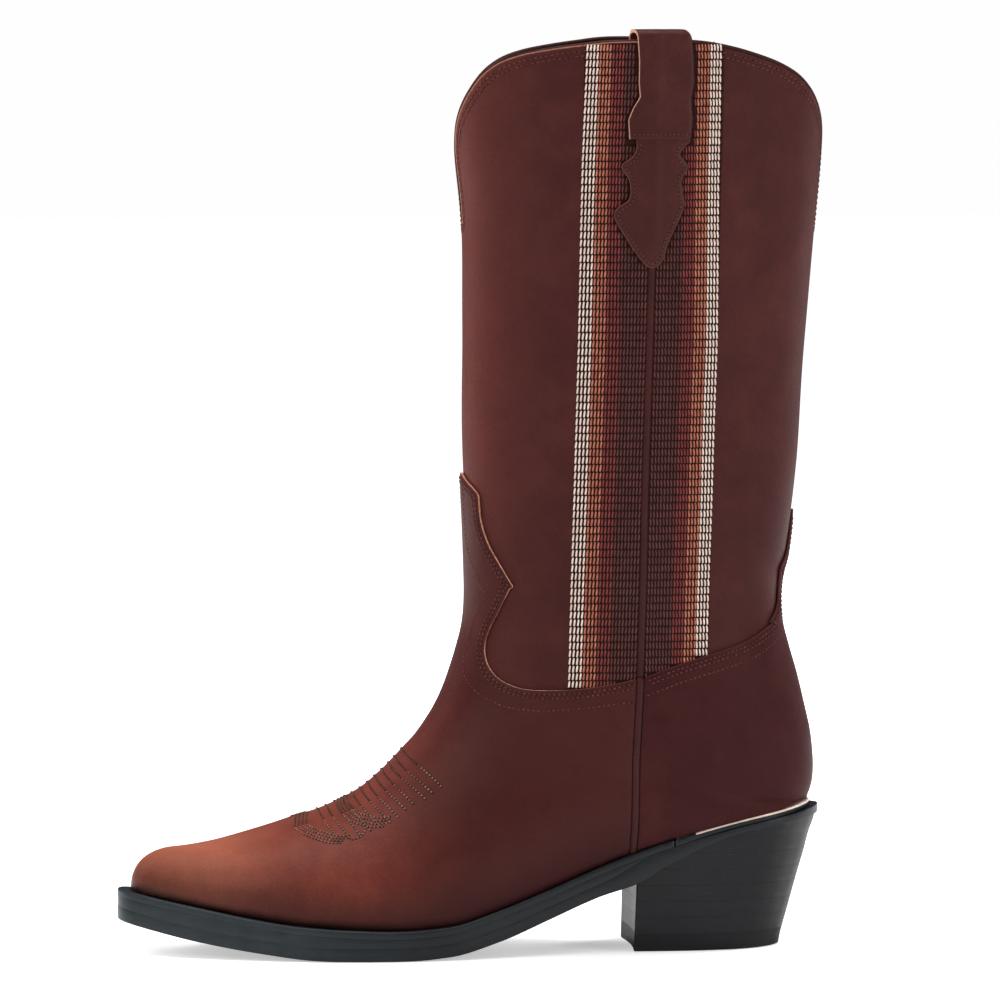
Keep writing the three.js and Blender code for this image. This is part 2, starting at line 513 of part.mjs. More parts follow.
// ----------------------------------------------------------------- the upper
const sewnFloor = aboveSole(GAP);
addPiece('vamp', biggest(overLayer.intersect(vampRegion()).intersect(sewnFloor)), FINISH.vamp);
addPiece('counter_foxing', biggest(overLayer.intersect(counterRegion()).intersect(sewnFloor)),
  FINISH.counter);

addPiece('shaft_front', biggest(shaftLayer.intersect(frontOfSeam(...SHAFT_CUT, SEAM_HALF))
  .intersect(prismY(SHAFT_FRONT_OUTLINE)).subtract(dipFront)), FINISH.shaft);
addPiece('shaft_back', biggest(shaftLayer.intersect(behindSeam(...SHAFT_CUT, SEAM_HALF))
  .intersect(prismY(SHAFT_BACK_OUTLINE)).subtract(dipBack)), FINISH.shaft);

// linings: the shaft's above the split, the foot's below it
const aboveSplit = block(-FAR_X, FAR_X, LINING_SPLIT_Z, LINING_CUT_TOP);
const liningFloor = aboveSole(FLOOR_GAP);
const shaftLining = (half, dip) => biggest(
  liningLayer.intersect(half(...SHAFT_CUT, LINING_SEAM_HALF)).intersect(aboveSplit).subtract(dip));
const footLining = (half) => biggest(liningLayer
  .intersect(half(LOW_Z, LINING_SPLIT_Z - GAP, LINING_SEAM_HALF)).intersect(liningFloor));
addPiece('shaft_lining_front', shaftLining(frontOfSeam, dipFront), FINISH.shaftLining);
addPiece('shaft_lining_back', shaftLining(behindSeam, dipBack), FINISH.shaftLining);
addPiece('vamp_lining', footLining(frontOfSeam), FINISH.footLining);
addPiece('heel_lining', footLining(behindSeam), FINISH.footLining);

// stiffeners between vamp or counter and lining
const stiffener = (outline) =>
  biggest(shaftLayer.intersect(prismY(outline)).intersect(sewnFloor));
addPiece('toe_box', stiffener(
  [[-FAR_X, 0], [-98, 0], ...spline(TOE_BOX_EDGE, 8), [-FAR_X, 60]]), FINISH.stiffener);
addPiece('counter_stiffener', stiffener(
  [[FAR_X, 0], [FAR_X, 99], [150, 99], ...spline(STIFFENER_EDGE, 12), [77, 0]]),
FINISH.stiffener);

// cord along the side seam; grow thickens it, raise moves it outwards
function cord(side, z0, z1, steps, { grow = 0, raise = 0 } = {}) {
  const path = spaced(z0, z1, steps).map((z) => {
    const [t, u] = locate(seamX(z, side), z, side);
    return { centre: offsetPoint(t, u, PIPING_LEVEL + raise), normal: normalAt(t, u) };
  });
  return loft(path.map(({ centre, normal }, i) => {
    const tangent = path[Math.min(i + 1, steps)].centre.clone()
      .sub(path[Math.max(i - 1, 0)].centre).normalize();
    const across = tangent.clone().cross(normal).normalize();
    const out = across.clone().cross(tangent).normalize();
    return ellipse(centre, across, out, PIPING_HALF_WIDTH + grow, PIPING_HALF_DEPTH + grow, 8);
  }));
}
for (const { label, side } of SIDES) {
  addPiece(`side_piping_${label}`, cord(side, 114.6, PIPING_TOP_Z, 9), FINISH.sidePiping);
  addPiece(`foot_piping_${label}`, cord(side, 43.6, 114.2, 6, { raise: FOOT_PIPING_RAISE }),
    FINISH.footPiping);
}

// shield tab, with a groove that clears the piping
function strapTab(side) {
  const outline = spline([...TAB, TAB[0]], 38).map(([x, z]) => [x + seamShift(z, side), z]);
  const half = side < 0 ? prismY(outline, -FAR_Y, 0) : prismY(outline, 0, FAR_Y);
  return biggest(strapLayer.intersect(half).subtract(cord(side, 270, 345, 6, { grow: GAP })));
}
for (const { label, side } of SIDES) addPiece(`strap_tab_${label}`, strapTab(side), FINISH.tab);

// pull strap: from the outside of the shaft over its edge and down the lining
function pullStrap(side) {
  const halfT = (STRAP_OUT - STRAP_IN) / 2;
  const outerOffset = (STRAP_IN + STRAP_OUT) / 2, innerOffset = LINING_IN - 3 * GAP - halfT;
  const middle = (outerOffset + innerOffset) / 2, radius = (outerOffset - innerOffset) / 2;
  const crestZ = STRAP_CREST - halfT - radius;
  // stations: [offset, z, facing along the surface normal, facing along z]
  const stations = [
    ...[...STRAP.slice(0, 6).map(([z]) => z), crestZ].map((z) => [outerOffset, z, 1, 0]),
    ...spaced(0, Math.PI, 7).slice(1, -1).map((a) => [middle + radius * Math.cos(a),
      crestZ + radius * Math.sin(a), Math.cos(a), Math.sin(a)]),
    ...[crestZ, 366.7, 357, 346, 336].map((z) => [innerOffset, z, -1, 0]),
  ];
  const sections = stations.map(([offset, z, facingOut, facingUp]) => {
    const surfaceZ = Math.min(z, STRAP_SURFACE_TOP);
    const skew = seamShift(surfaceZ, side) - (side < 0 ? STRAP_SKEW * (1 - facingOut) / 2 : 0);
    const across = spaced(lerpTable(STRAP, z, 1) + skew, lerpTable(STRAP, z, 2) + skew, 4);
    const point = (x, lift) => {
      const [t, u] = locate(x, surfaceZ, side);
      const p = offsetPoint(t, u, offset + lift * facingOut);
      p.z = z + lift * facingUp;
      p.y += side * (z - surfaceZ) * STRAP_SPREAD;
      return p;
    };
    return [...across.map((x) => point(x, halfT)),
      ...reversed(across).map((x) => point(x, -halfT))];
  });
  return loft(sections).subtract(cord(side, 320, PIPING_TOP_Z, 8, { grow: GAP }));
}
for (const { label, side } of SIDES) {
  addPiece(`pull_strap_${label}`, pullStrap(side), FINISH.strap);
}

// half of the shaft's top edge as [angle round the shaft, level], front dip to back dip
function toplineHalf() {
  const DIP_END = 41;                // half width where the dips give way to the flanks
  const FLANK_HALF = 44.1;
  const angleAt = (y, z) => Math.asin(Math.min(1,
    Math.pow(y / sectionAt(locateLevel(z)).outerHalf, 1 / SECTION_POWER)));
  const dipPath = (dip) => spline(dip, DIP_STEPS).filter(([y]) => y < DIP_END)
    .map(([y, z]) => [angleAt(y, z), z]);
  const front = dipPath(DIP_FRONT);
  const back = dipPath(DIP_BACK).map(([angle, z]) => [Math.PI - angle, z]).reverse();
  const flank = spaced(last(front)[0], back[0][0], 8).slice(1, -1).map((angle) => {
    const y = FLANK_HALF * Math.pow(Math.sin(angle), SECTION_POWER);
    const dip = angle < Math.PI / 2 ? DIP_FRONT : DIP_BACK;
    return [angle, lerpTable(spline(dip, DIP_STEPS), y)];
  });
  return [...front, ...flank, ...back];
}
// rolled bead along the top edge
function toplineBead() {
  const half = toplineHalf();
  const onSide = (points, side) => points.map(([angle, z]) => {
    const t = locateLevel(z), u = side * (angle / Math.PI);
    return { p: offsetPoint(t, u, BEAD_LEVEL), normal: normalAt(t, u) };
  });
  const path = [...onSide(half, -1), ...onSide(half.slice(1, -1).reverse(), 1)];
  const count = path.length;
  const rings = path.map(({ p, normal }, i) => {
    const tangent = path[(i + 1) % count].p.clone()
      .sub(path[(i + count - 1) % count].p).normalize();
    const up = tangent.clone().cross(normal).normalize();
    if (up.z < 0) up.negate();
    const across = tangent.clone().cross(up).normalize();
    const centre = p.clone().addScaledVector(up, BEAD_RADIUS + GAP + 0.1);
    return ellipse(centre, up, across, BEAD_RADIUS, BEAD_RADIUS, 6);
  });
  return loft([...rings, rings[0].map((p) => p.clone())], false);
}
addPiece('topline_bead', toplineBead(), FINISH.bead);

// ---------------------------------------------------------------- the bottom
const planCurve = new THREE.SplineCurve(vectors2([
  ...SOLE_PLAN.map(([x, outer]) => [x, -outer]),
  ...SOLE_PLAN.slice(1, -1).reverse().map(([x, , inner]) => [x, inner]),
  [SOLE_PLAN[0][0], 0]]));
const planPoints = planCurve.getPoints(52).slice(0, -1).map((p) => [p.x, p.y]);
const plan = prismZ(planPoints);

// the outline moved inwards by a distance, rounded off at both ends
function innerPlan(inset, x0, x1) {
  const FRONT_ROUND = 7, BACK_ROUND = 14, MIN_HALF = 0.6, SLANT = 1.08, STEPS = 16;
  const halfWidth = (x, column) =>
    Math.max(MIN_HALF, lerpTable(SOLE_PLAN, x, column) - inset * SLANT)
    * Math.sqrt(clamp((x - x0) / FRONT_ROUND, 0, 1) * clamp((x1 - x) / BACK_ROUND, 0, 1));
  const xs = spaced(0, Math.PI, STEPS).slice(1, -1)
    .map((angle) => x0 + ((x1 - x0) * (1 - Math.cos(angle))) / 2);
  return [...xs.map((x) => [x, -halfWidth(x, 1)]), [x1, 0],
    ...reversed(xs).map((x) => [x, halfWidth(x, 2)]), [x0, 0]];
}

// full-width band between two side-view curves
const bandXs = spaced(-150, 150, 25);
function band(low, high, endX = Infinity) {
  const xs = bandXs.filter((x) => x < endX);
  return prismY([...xs.map((x) => [x, low(x)]), ...reversed(xs).map((x) => [x, high(x)])]);
}
const before = (x) => block(-FAR_X, x, LOW_Z, MID_Z);
const after = (x) => block(x, FAR_X, LOW_Z, MID_Z);

// welt and heel rand: a ring round the edge, cut in two
const weltUnder = (x) => soleTop(x) - lerpTable(WELT_T, x);
const weltBand = band(weltUnder, soleTop);
const edgeRing = weltBand.intersect(plan).subtract(prismZ(innerPlan(WELT_RING, -131, 133.5)));
addPiece('welt', biggest(edgeRing.intersect(before(RING_END))), FINISH.welt);

// the rand is set in from the edge of the heel seat below it
function randPlan() {
  const BACK_FROM = 96, BACK_INSET = 3.4, SIDE_NARROWING = 0.04, SIDE_BLEND = 20;
  const backInset = (x) => BACK_INSET * ((x - BACK_FROM) / (SOLE_END - BACK_FROM)) ** 2;
  const narrowing = (x) => SIDE_NARROWING * Math.min(1, (x - RING_END) / SIDE_BLEND);
  return planPoints.map(([x, y]) => [
    x > BACK_FROM ? x - backInset(x) : x,
    x > RING_END ? y * (1 - narrowing(x)) : y,
  ]);
}
addPiece('heel_rand', biggest(
  edgeRing.intersect(prismZ(randPlan())).intersect(after(RING_END + GAP))), FINISH.rand);

// shank and the filler round it
const shankEnd = (x, startAngle) => spaced(startAngle, startAngle + Math.PI, 8)
  .map((angle) => [x + SHANK.half * Math.cos(angle), SHANK.half * Math.sin(angle)]);
const shankOutline = [...shankEnd(SHANK.from + SHANK.half, Math.PI / 2),
  ...shankEnd(SHANK.to - SHANK.half, -Math.PI / 2)];
const shankPocket = shankOutline
  .map(([x, y]) => [x + (x > 40 ? GAP : -GAP), y * (1 + GAP / SHANK.half)]);
const shankTop = (x) => soleTop(x) - SHANK.drop;
const shankUnder = (x) => shankTop(x) - SHANK.thickness;

const nailHoles = union(NAILS.map(([x, y]) =>
  rod(x, y, 11.5, soleTop(x) + 3.3, NAIL.radius + GAP)));
const nailHeadRoom = union(NAILS.map(([x, y]) =>
  rod(x, y, soleTop(x) + 1.3, soleTop(x) + 5, NAIL.headRadius + GAP)));
const filler = weltBand
  .intersect(prismZ(innerPlan(WELT_RING + GAP + 0.1, -130.2, 132.8)))
  .subtract(band((x) => shankUnder(x) - GAP, (x) => soleTop(x) + 3)
    .intersect(prismZ(shankPocket)));
addPiece('bottom_filler', biggest(filler.subtract(nailHoles)), FINISH.filler);
addPiece('steel_shank', band(shankUnder, shankTop).intersect(prismZ(shankOutline)),
  FINISH.shank);

// insole board and sock liner fill the inside of the lining
const insideLining = body(LINING_IN - GAP - 0.1, SKIRT);
const insoleUnder = (x) => soleTop(x) + FLOOR_GAP;
const insoleTop = (x) => insoleUnder(x) + INSOLE_T;
const sockUnder = (x) => insoleTop(x) + FLOOR_GAP;
addPiece('insole_board', biggest(insideLining.intersect(band(insoleUnder, insoleTop)
  .subtract(nailHoles).subtract(nailHeadRoom))), FINISH.insole);
addPiece('sock_liner', biggest(insideLining.intersect(
  band(sockUnder, (x) => sockUnder(x) + SOCK_T))), FINISH.sock);

const pegHoles = union(PEGS.map(([x, y]) =>
  rod(x, y, soleUnder(x) - 6, soleUnder(x) + 9.4, PEG_RADIUS + GAP)));
const outsoleTop = (x) => soleUnder(x) + lerpTable(OUTSOLE_T, x);
const midsolePlan = prismZ(planPoints.map(([x, y]) => [x * 0.9975, y * 0.992]));
// the band stops early, before its two curves cross
const midsoleBand = band((x) => outsoleTop(x) + GAP, (x) => weltUnder(x) - GAP, 82);
addPiece('midsole', biggest(midsoleBand.intersect(midsolePlan)
  .intersect(before(MIDSOLE_END)).subtract(pegHoles)), FINISH.midsole);
addPiece('outsole', biggest(band(soleUnder, outsoleTop).intersect(plan)
  .subtract(pegHoles).subtract(nailHoles)), FINISH.outsole);

// peg with its lower end trimmed parallel to the underside of the sole
function shankPeg(x, y) {
  const under = soleUnder(x), tilt = (soleUnder(x + 1) - soleUnder(x - 1)) / 2;
  const reach = 4, recess = 0.15;
  return rod(x, y, under - 5, under + 8, PEG_RADIUS).intersect(prismY([
    [x - reach, under - reach * tilt + recess], [x + reach, under + reach * tilt + recess],
    [x + reach, under + 30], [x - reach, under + 30]]));
}
PEGS.forEach(([x, y], i) => addPiece(`shank_peg_${i + 1}`, shankPeg(x, y), FINISH.peg));

// ------------------------------------------------------------------ the heel
const HEEL_PLAN_START = 68;          // x in SOLE_PLAN that maps to the breast
const heelPlan = SOLE_PLAN.filter(([x]) => x >= HEEL_PLAN_START);
const heelTopHalf = last(HEEL)[2];
// the back of the sole outline, scaled to the heel at a level
function heelRing([z, back, halfWidth]) {
  const breast = BREAST_X + 0.9 * Math.min(1, z / 30);
  const scaleX = (back - breast) / (SOLE_END - HEEL_PLAN_START);
  const scaleY = halfWidth / heelTopHalf;
  // towards the ground the back of the outline gets rounder
  const rounding = (x) =>
    1 - 0.2 * (1 - Math.min(z, 55) / 55) * Math.max(0, (x - 84) / 55) ** 1.4;
  const point = (x, y) => new THREE.Vector3(
    breast + (x - HEEL_PLAN_START) * scaleX, y * scaleY * rounding(x), z);
  return [...heelPlan.map(([x, outer]) => point(x, -outer)),
    ...heelPlan.slice(0, -1).reverse().map(([x, , inner]) => point(x, inner))];
}
const heelBody = loft(HEEL.map(heelRing));
const heelSlab = (z0, z1) => heelBody.intersect(block(...HEEL_CUT_X, z0, z1));
const [heelCutFront, heelCutBack] = HEEL_CUT_X;
const underSeat = prismY([[heelCutFront, LOW_Z], [heelCutBack, LOW_Z],
  ...reversed(bandXs).filter((x) => x > heelCutFront).map((x) => [x, soleUnder(x) - GAP]),
  [heelCutFront, soleUnder(heelCutFront) - GAP]]);
const capNailHoles = union(CAP_NAILS.map(([x, y]) =>
  rod(x, y, -1, CAP_HOLE_TOP, CAP_NAIL.radius + GAP)
    .add(rod(x, y, -1, 1.5, CAP_NAIL.headRadius + GAP))));
addPiece('heel_cap', biggest(heelSlab(0, HEEL_CAP_TOP).subtract(capNailHoles)), FINISH.heelCap);

const liftPitch = (LIFT_TOP - HEEL_CAP_TOP) / LIFTS;
for (let i = 0; i < LIFTS; i++) {
  const z0 = HEEL_CAP_TOP + i * liftPitch + GAP, z1 = HEEL_CAP_TOP + (i + 1) * liftPitch;
  let lift = heelSlab(z0, z1).intersect(underSeat);
  if (z0 < CAP_HOLE_TOP) lift = lift.subtract(capNailHoles);
  addPiece(`heel_lift_${i + 1}`, biggest(lift.subtract(nailHoles)),
    i % 2 ? FINISH.liftDark : FINISH.liftLight);
}
NAILS.forEach(([x, y], i) => addPiece(`heel_nail_${i + 1}`,
  nail(x, y, NAIL.bottom, soleTop(x) + NAIL.rise, NAIL, true), FINISH.nail));
CAP_NAILS.forEach(([x, y], i) => addPiece(`cap_nail_${i + 1}`,
  nail(x, y, CAP_NAIL.bottom, CAP_NAIL.top, CAP_NAIL, false), FINISH.capNail));

// put the origin on the ground at the centre of the bounding box
const box = new THREE.Box3().setFromObject(boot);
boot.position.set(-(box.min.x + box.max.x) / 2, -(box.min.y + box.max.y) / 2, -box.min.z);
boot.updateMatrixWorld(true);

export default boot;
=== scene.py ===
# Cowboy boot: leather upper, stitching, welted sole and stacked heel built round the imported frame.
# The toe points to -x, the heel to +x, z is up; the lateral side is -y, the medial side +y.
# Lengths are millimetres in the boot's own frame; meshes are written in metres.
import math

import bpy
import numpy as np
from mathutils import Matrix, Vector
from mathutils.geometry import delaunay_2d_cdt


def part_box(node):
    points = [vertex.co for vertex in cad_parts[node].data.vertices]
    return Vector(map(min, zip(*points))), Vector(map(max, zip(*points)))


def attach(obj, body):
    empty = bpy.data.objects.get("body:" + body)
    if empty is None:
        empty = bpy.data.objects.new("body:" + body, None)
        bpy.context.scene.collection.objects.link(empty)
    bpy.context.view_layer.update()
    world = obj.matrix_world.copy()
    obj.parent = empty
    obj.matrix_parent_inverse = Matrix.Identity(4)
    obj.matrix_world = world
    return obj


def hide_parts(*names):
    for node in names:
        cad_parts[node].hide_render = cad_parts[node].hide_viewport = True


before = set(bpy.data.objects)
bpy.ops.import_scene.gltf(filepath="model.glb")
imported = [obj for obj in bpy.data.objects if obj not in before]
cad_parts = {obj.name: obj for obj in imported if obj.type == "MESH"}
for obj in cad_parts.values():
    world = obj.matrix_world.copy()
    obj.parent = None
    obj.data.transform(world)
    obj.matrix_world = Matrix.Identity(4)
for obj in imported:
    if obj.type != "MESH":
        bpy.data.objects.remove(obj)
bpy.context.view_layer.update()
STEP = 1.55       # spacing of the leather meshes
TAB_STEP = 1.1
EDGE_GAP = 0.9    # spacing of points along cut edges

SIDES = (("lateral", -1), ("medial", 1))

# ------------------------------------------------------------------ dimensions
# x, z of the sole's upper face, where the upper meets it
SOLE_TOP = [
    [-146, 26.6], [-140, 25.6], [-128.5, 23.4], [-113, 20.6], [-89, 16.2], [-73, 14.1],
    [-53, 12.8], [-33, 12.2], [-12, 13.6], [8.8, 19.4], [30.2, 27.3], [51, 35.9], [64.4, 41.1],
    [88.3, 48.8], [113.2, 55.2], [139.4, 60.1], [146, 61.3]]
# x, z of the sole's underside
SOLE_UNDER = [
    [-146, 13.8], [-137, 11.6], [-113, 6.5], [-89, 2.7], [-66, 0.2], [-58, 0], [-44, 0],
    [-30, 0], [-12, 1.2], [9, 6.6], [30, 14.9], [51, 23.6], [66, 28.5], [80, 36.5], [95, 44.0],
    [106, 48.4], [125, 52.2], [144, 54.8], [147, 55.2]]
# x, lateral half width, medial half width of the sole
SOLE_PLAN = [
    [-145.3, 0, 0], [-144.5, 5, 5], [-142, 9.5, 9.2], [-137, 13.7, 12.9], [-130, 18.3, 17.2],
    [-121, 23.5, 22], [-108.5, 29, 27.5], [-93, 34.8, 33.2], [-76, 40.2, 38.5],
    [-57, 44.8, 42.6], [-36, 46.5, 43], [-13, 44, 39], [12, 38, 32.5], [40, 32, 28],
    [68, 30, 29], [93, 30.8, 30.4], [113, 30.4, 30.2], [125, 27.8, 27.6], [133, 23, 23],
    [139, 16.5, 16.5], [143, 9.5, 9.5], [145.3, 0, 0]]
# z, x of the back, half width of the heel
HEEL = [
    [0, 129, 24], [5, 130, 24.3], [12, 132, 24.9], [20, 134.2, 25.6], [30, 137, 26.7],
    [38.4, 139.5, 27.8], [46.7, 141.6, 29], [52, 143.6, 29.8], [60, 145.3, 30.6]]
# z, x of the lateral side seam
SEAM = [
    [30, 64.5], [41.6, 64.7], [80.5, 65.2], [111.4, 66.7], [146.3, 67.8], [187.4, 68.4],
    [228.3, 69.5], [283.4, 70.8], [372.8, 72.4], [390, 72.8]]
# Sections of the upper, from the top of the shaft down and forward to the toe:
# x, z at the front line; x, z at the back line (z None: FEATHER_GAP over the sole's top);
# half width lateral, medial; half of the gap left open underneath lateral, medial
ROWS = [
    [-10.5, 384, 149.5, 384, 44.5, 44.5, 0, 0], [-9.0, 366, 148.2, 366, 44, 44, 0, 0],
    [-6.4, 330, 146.2, 330, 42.8, 42.8, 0, 0], [-3.1, 298, 143.0, 298, 41.8, 41.8, 0, 0],
    [-2.7, 260, 139.8, 260, 40.6, 40.6, 0, 0], [-2.7, 225, 137.3, 225, 39.6, 39.6, 0, 0],
    [-1.8, 192, 134.9, 192, 38.8, 38.8, 0, 0], [-0.9, 166, 131.6, 166, 38.0, 38.0, 0, 0],
    [-0.4, 147, 128.3, 149, 37.4, 37.4, 0, 0], [-1.3, 134.5, 128.8, 135, 37.0, 37.0, 0, 0],
    [-3.6, 124.5, 131.4, 124, 36.8, 36.6, 0, 0], [-6.7, 114.5, 134.9, 112, 36.5, 36.2, 0, 0],
    [-10.2, 105.5, 138.2, 99, 36.2, 35.8, 0, 0], [-14.0, 98, 140.9, 87, 36.0, 35.5, 0, 0],
    [-17.5, 92.5, 142.1, 76, 35.8, 35.2, 0, 0], [-19.8, 89.2, 142.0, 67.5, 35.7, 35.0, 0, 0],
    [-21.0, 87.6, 140.2, 62.4, 35.6, 34.9, 0.01, 0.01],
    [-22.0, 86.4, 136.5, None, 35.6, 34.9, 10.5, 10.5],
    [-23.2, 85.1, 132, None, 35.7, 34.9, 18, 18],
    [-24.8, 83.5, 125, None, 35.8, 34.9, 23.6, 23.6],
    [-27.2, 81, 113, None, 35.8, 34.8, 27.0, 27.0], [-31, 77, 93, None, 35.6, 34.3, 28, 27.6],
    [-36.5, 71.6, 68, None, 35.6, 33.8, 26.4, 25.4], [-44, 65.3, 40, None, 37, 34.2, 27.8, 24],
    [-53.1, 60.2, 12, None, 39.4, 36, 33.2, 27.8], [-62.5, 56.3, -13, None, 41.6, 38, 38.6, 33.6],
    [-72.5, 53.4, -36, None, 42.6, 39.6, 41, 37.5], [-83, 50.0, -57, None, 41.0, 39, 39.4, 37.4],
    [-94, 46.8, -76, None, 36.6, 35, 35, 33.5], [-105, 44.0, -93, None, 31, 29.6, 29.6, 28.1],
    [-116, 42.1, -108.5, None, 25.5, 24.1, 24.1, 22.7],
    [-125, 41, -121, None, 19.9, 18.7, 18.7, 17.5],
    [-131, 38.8, -130, None, 14.8, 13.9, 13.8, 12.9],
    [-135, 35.6, -135.3, None, 10.2, 9.6, 9.5, 9],
    [-137.3, 31.5, -137.6, None, 5.9, 5.6, 5.5, 5.2],
    [-138.1, 27.6, -138.2, None, 0.9, 0.9, 0.8, 0.8]]
FEATHER_GAP = 0.3
# Top edge of the vamp: x, z in side view from the seam forward, then y, z in front view
VAMP_SIDE = [
    [66.7, 114.2], [58.4, 112.2], [50.2, 110.8], [40.1, 109.5], [30.0, 109.0], [22.1, 109.1],
    [16.9, 110.0], [12.2, 111.9], [8.8, 114.6], [6.5, 118.1], [5.45, 122.1], [5.33, 125.7],
    [6.0, 129.8], [7.5, 134.4], [9.8, 139.4], [11.8, 144.1], [13.7, 148.3], [14.6, 150.4]]
VAMP_FRONT = [
    [26.0, 150.7], [24.4, 155.2], [22.3, 160.6], [19.8, 166.2], [18.1, 170.6], [16.9, 174.8],
    [16.15, 178.9], [15.9, 183.0], [15.8, 187.0], [15.3, 188.7], [13.9, 190.1], [12.2, 191.4],
    [7.9, 193.8], [4.0, 195.6], [0, 196.4]]
# Top edge of the counter: x, z in side view from the seam back, then y, z in back view
COUNTER_SIDE = [[66.5, 113.6], [83.1, 119.5], [100.1, 124.3], [113.4, 128.6], [124, 135]]
COUNTER_BACK = [
    [17.5, 135], [13.6, 138.5], [9.6, 143], [8.6, 148], [10, 153], [11.2, 157.5], [8, 161],
    [5, 166], [3.2, 175], [0, 181]]
TOPLINE_Z = 373.4
# y, z of the dips in the top line, from the middle outwards
DIP_FRONT = [
    [0, 298.4], [2.6, 299.3], [4.4, 302.5], [5.4, 308], [6.2, 316], [7.8, 326], [10.8, 333.4],
    [13.5, 338.6], [16.5, 343], [20, 347.8], [23.8, 353], [28.6, 359.8], [32.8, 364.6],
    [36.7, 367.8], [40.6, 370.3], [43, 372.1], [44.1, TOPLINE_Z]]
DIP_BACK = [
    [0, 298.4], [2.4, 299.3], [4, 302.5], [4.7, 308], [5.1, 316], [5.8, 326], [8.4, 335],
    [11.2, 339.8], [14.6, 344.2], [18, 348.6], [22, 353.6], [27, 359.2], [32.2, 363.8],
    [36.8, 367.6], [40.8, 371.2], [42.8, 372.9], [44, TOPLINE_Z]]
# x, z of the shield tab's outline, from one top corner to the other
TAB = [
    [64.4, 334.2], [64.4, 330.6], [62.4, 327], [58.4, 323.7], [61.2, 318.8], [62.1, 314.8],
    [61.3, 309.9], [55.6, 304.2], [61, 293.6], [67.1, 284.9], [70.8, 282.6], [74.8, 285.4],
    [77, 292.5], [82.3, 304.1], [83.4, 309], [82.2, 317.4], [84.8, 323.4], [81.6, 328.6],
    [86.0, 334.2]]
# z, x of the front edge, x of the back edge of the pull strap
STRAP = [
    [335, 61.2, 87], [342.4, 60.7, 87.8], [347.3, 62.7, 87.4], [351.7, 65.4, 87.2],
    [357, 64.9, 88.4], [366.7, 65.0, 88.2], [375, 64.4, 87.4], [381, 64.0, 86.0]]
STRAP_CREST, STRAP_SKEW = 380.2, 3
STRAP_HALF_THICK = 0.8
STRAP_OUTER, STRAP_INNER = 1.1, -4.6    # levels of the strap's two legs off the upper

POWER = 0.92            # squareness of the sections
SEAM_LEAN = 8           # backward lean of the medial seam at its top
SEAM_HALF = 1.8         # gap between the seam and the leather on either side
SEAM_BULGE = 2.6        # how far the piping lifts leather laid over it
SEAM_BOTTOM, SEAM_LEAN_HEIGHT = 114, 258.8
SHAFT_TWIST = math.radians(6)
BREAST_X, HEEL_CAP_TOP, LIFTS, LIFT_TOP = 65.8, 7.2, 7, 54.5
WELT_RING, RING_END = 11.5, 82

shank_lo, shank_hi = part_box("steel_shank")
SHIFT = np.array([(shank_lo.x + shank_hi.x) * 500 - 48, (shank_lo.y + shank_hi.y) * 500, 0.0])


# ------------------------------------------------------------ curves and tables
def lookup(rows, x, column=1):
    rows = np.asarray(rows, float)
    return np.interp(x, rows[:, 0], rows[:, column])


def smooth_table(rows):
    """Monotone cubic through a table of x and value."""
    xs = np.array([row[0] for row in rows], float)
    values = np.array([row[1] for row in rows], float)
    count, gaps = len(xs), np.diff(xs)
    slopes = np.diff(values) / gaps
    tilts = np.zeros(count)
    tilts[0], tilts[-1] = slopes[0], slopes[-1]
    for i in range(1, count - 1):
        if slopes[i - 1] * slopes[i] > 0:
            left, right = 2 * gaps[i] + gaps[i - 1], gaps[i] + 2 * gaps[i - 1]
            tilts[i] = (left + right) / (left / slopes[i - 1] + right / slopes[i])

    def value_at(x):
        x = np.clip(np.asarray(x, float), xs[0], xs[-1])
        i = np.clip(np.searchsorted(xs, x, side="left") - 1, 0, count - 2)
        part = (x - xs[i]) / gaps[i]
        square, cube = part * part, part * part * part
        return ((2 * cube - 3 * square + 1) * values[i]
                + (cube - 2 * square + part) * gaps[i] * tilts[i]
                + (3 * square - 2 * cube) * values[i + 1]
                + (cube - square) * gaps[i] * tilts[i + 1])
    return value_at


sole_top, sole_under = smooth_table(SOLE_TOP), smooth_table(SOLE_UNDER)
SECTIONS = np.array([[float(sole_top(row[2])) + FEATHER_GAP if v is None else v for v in row]
                     for row in ROWS], float)
LAST = len(SECTIONS) - 1


def arc_length(points):
    return np.r_[0, np.cumsum(np.linalg.norm(np.diff(points, axis=0), axis=1))]


def sample(places, known, values):
    """Interpolates every column of values."""
    return np.stack([np.interp(places, known, values[:, k]) for k in range(values.shape[1])], 1)


def resample(points, count):
    reach = arc_length(points)
    return sample(np.linspace(0, reach[-1], count + 1), reach, points)


def resample_closed(points, gap):
    loop = np.vstack([points, points[:1]])
    count = max(int(np.linalg.norm(np.diff(loop, axis=0), axis=1).sum() / gap), 24)
    return resample(loop, count)[:-1]


def spline(points, count):
    """Catmull-Rom curve through 2-D points, count + 1 points evenly spaced along it."""
    points = np.asarray(points, float)
    padded = np.vstack([points[0], points, points[-1]])
    part = np.linspace(0, 1, 24, endpoint=False)[:, None]
    curve = []
    for i in range(len(points) - 1):
        before, start, end, after = padded[i:i + 4]
        go, stop = (end - before) * 0.5, (after - start) * 0.5
        curve.append((2 * start - 2 * end + go + stop) * part ** 3
                     + (-3 * start + 3 * end - 2 * go - stop) * part ** 2 + go * part + start)
    return resample(np.vstack(curve + [points[-1:]]), count)


def bisect(low, high, go_up, steps):
    """Halves the range, moving its low end up wherever go_up(middle) holds."""
    for _ in range(steps):
        middle = (low + high) / 2
        up = go_up(middle)
        low, high = np.where(up, middle, low), np.where(up, high, middle)
    return (low + high) / 2


def smooth_loop(points, times):
    for _ in range(times):
        points = (np.roll(points, 1, 0) + 2 * points + np.roll(points, -1, 0)) / 4
    return points


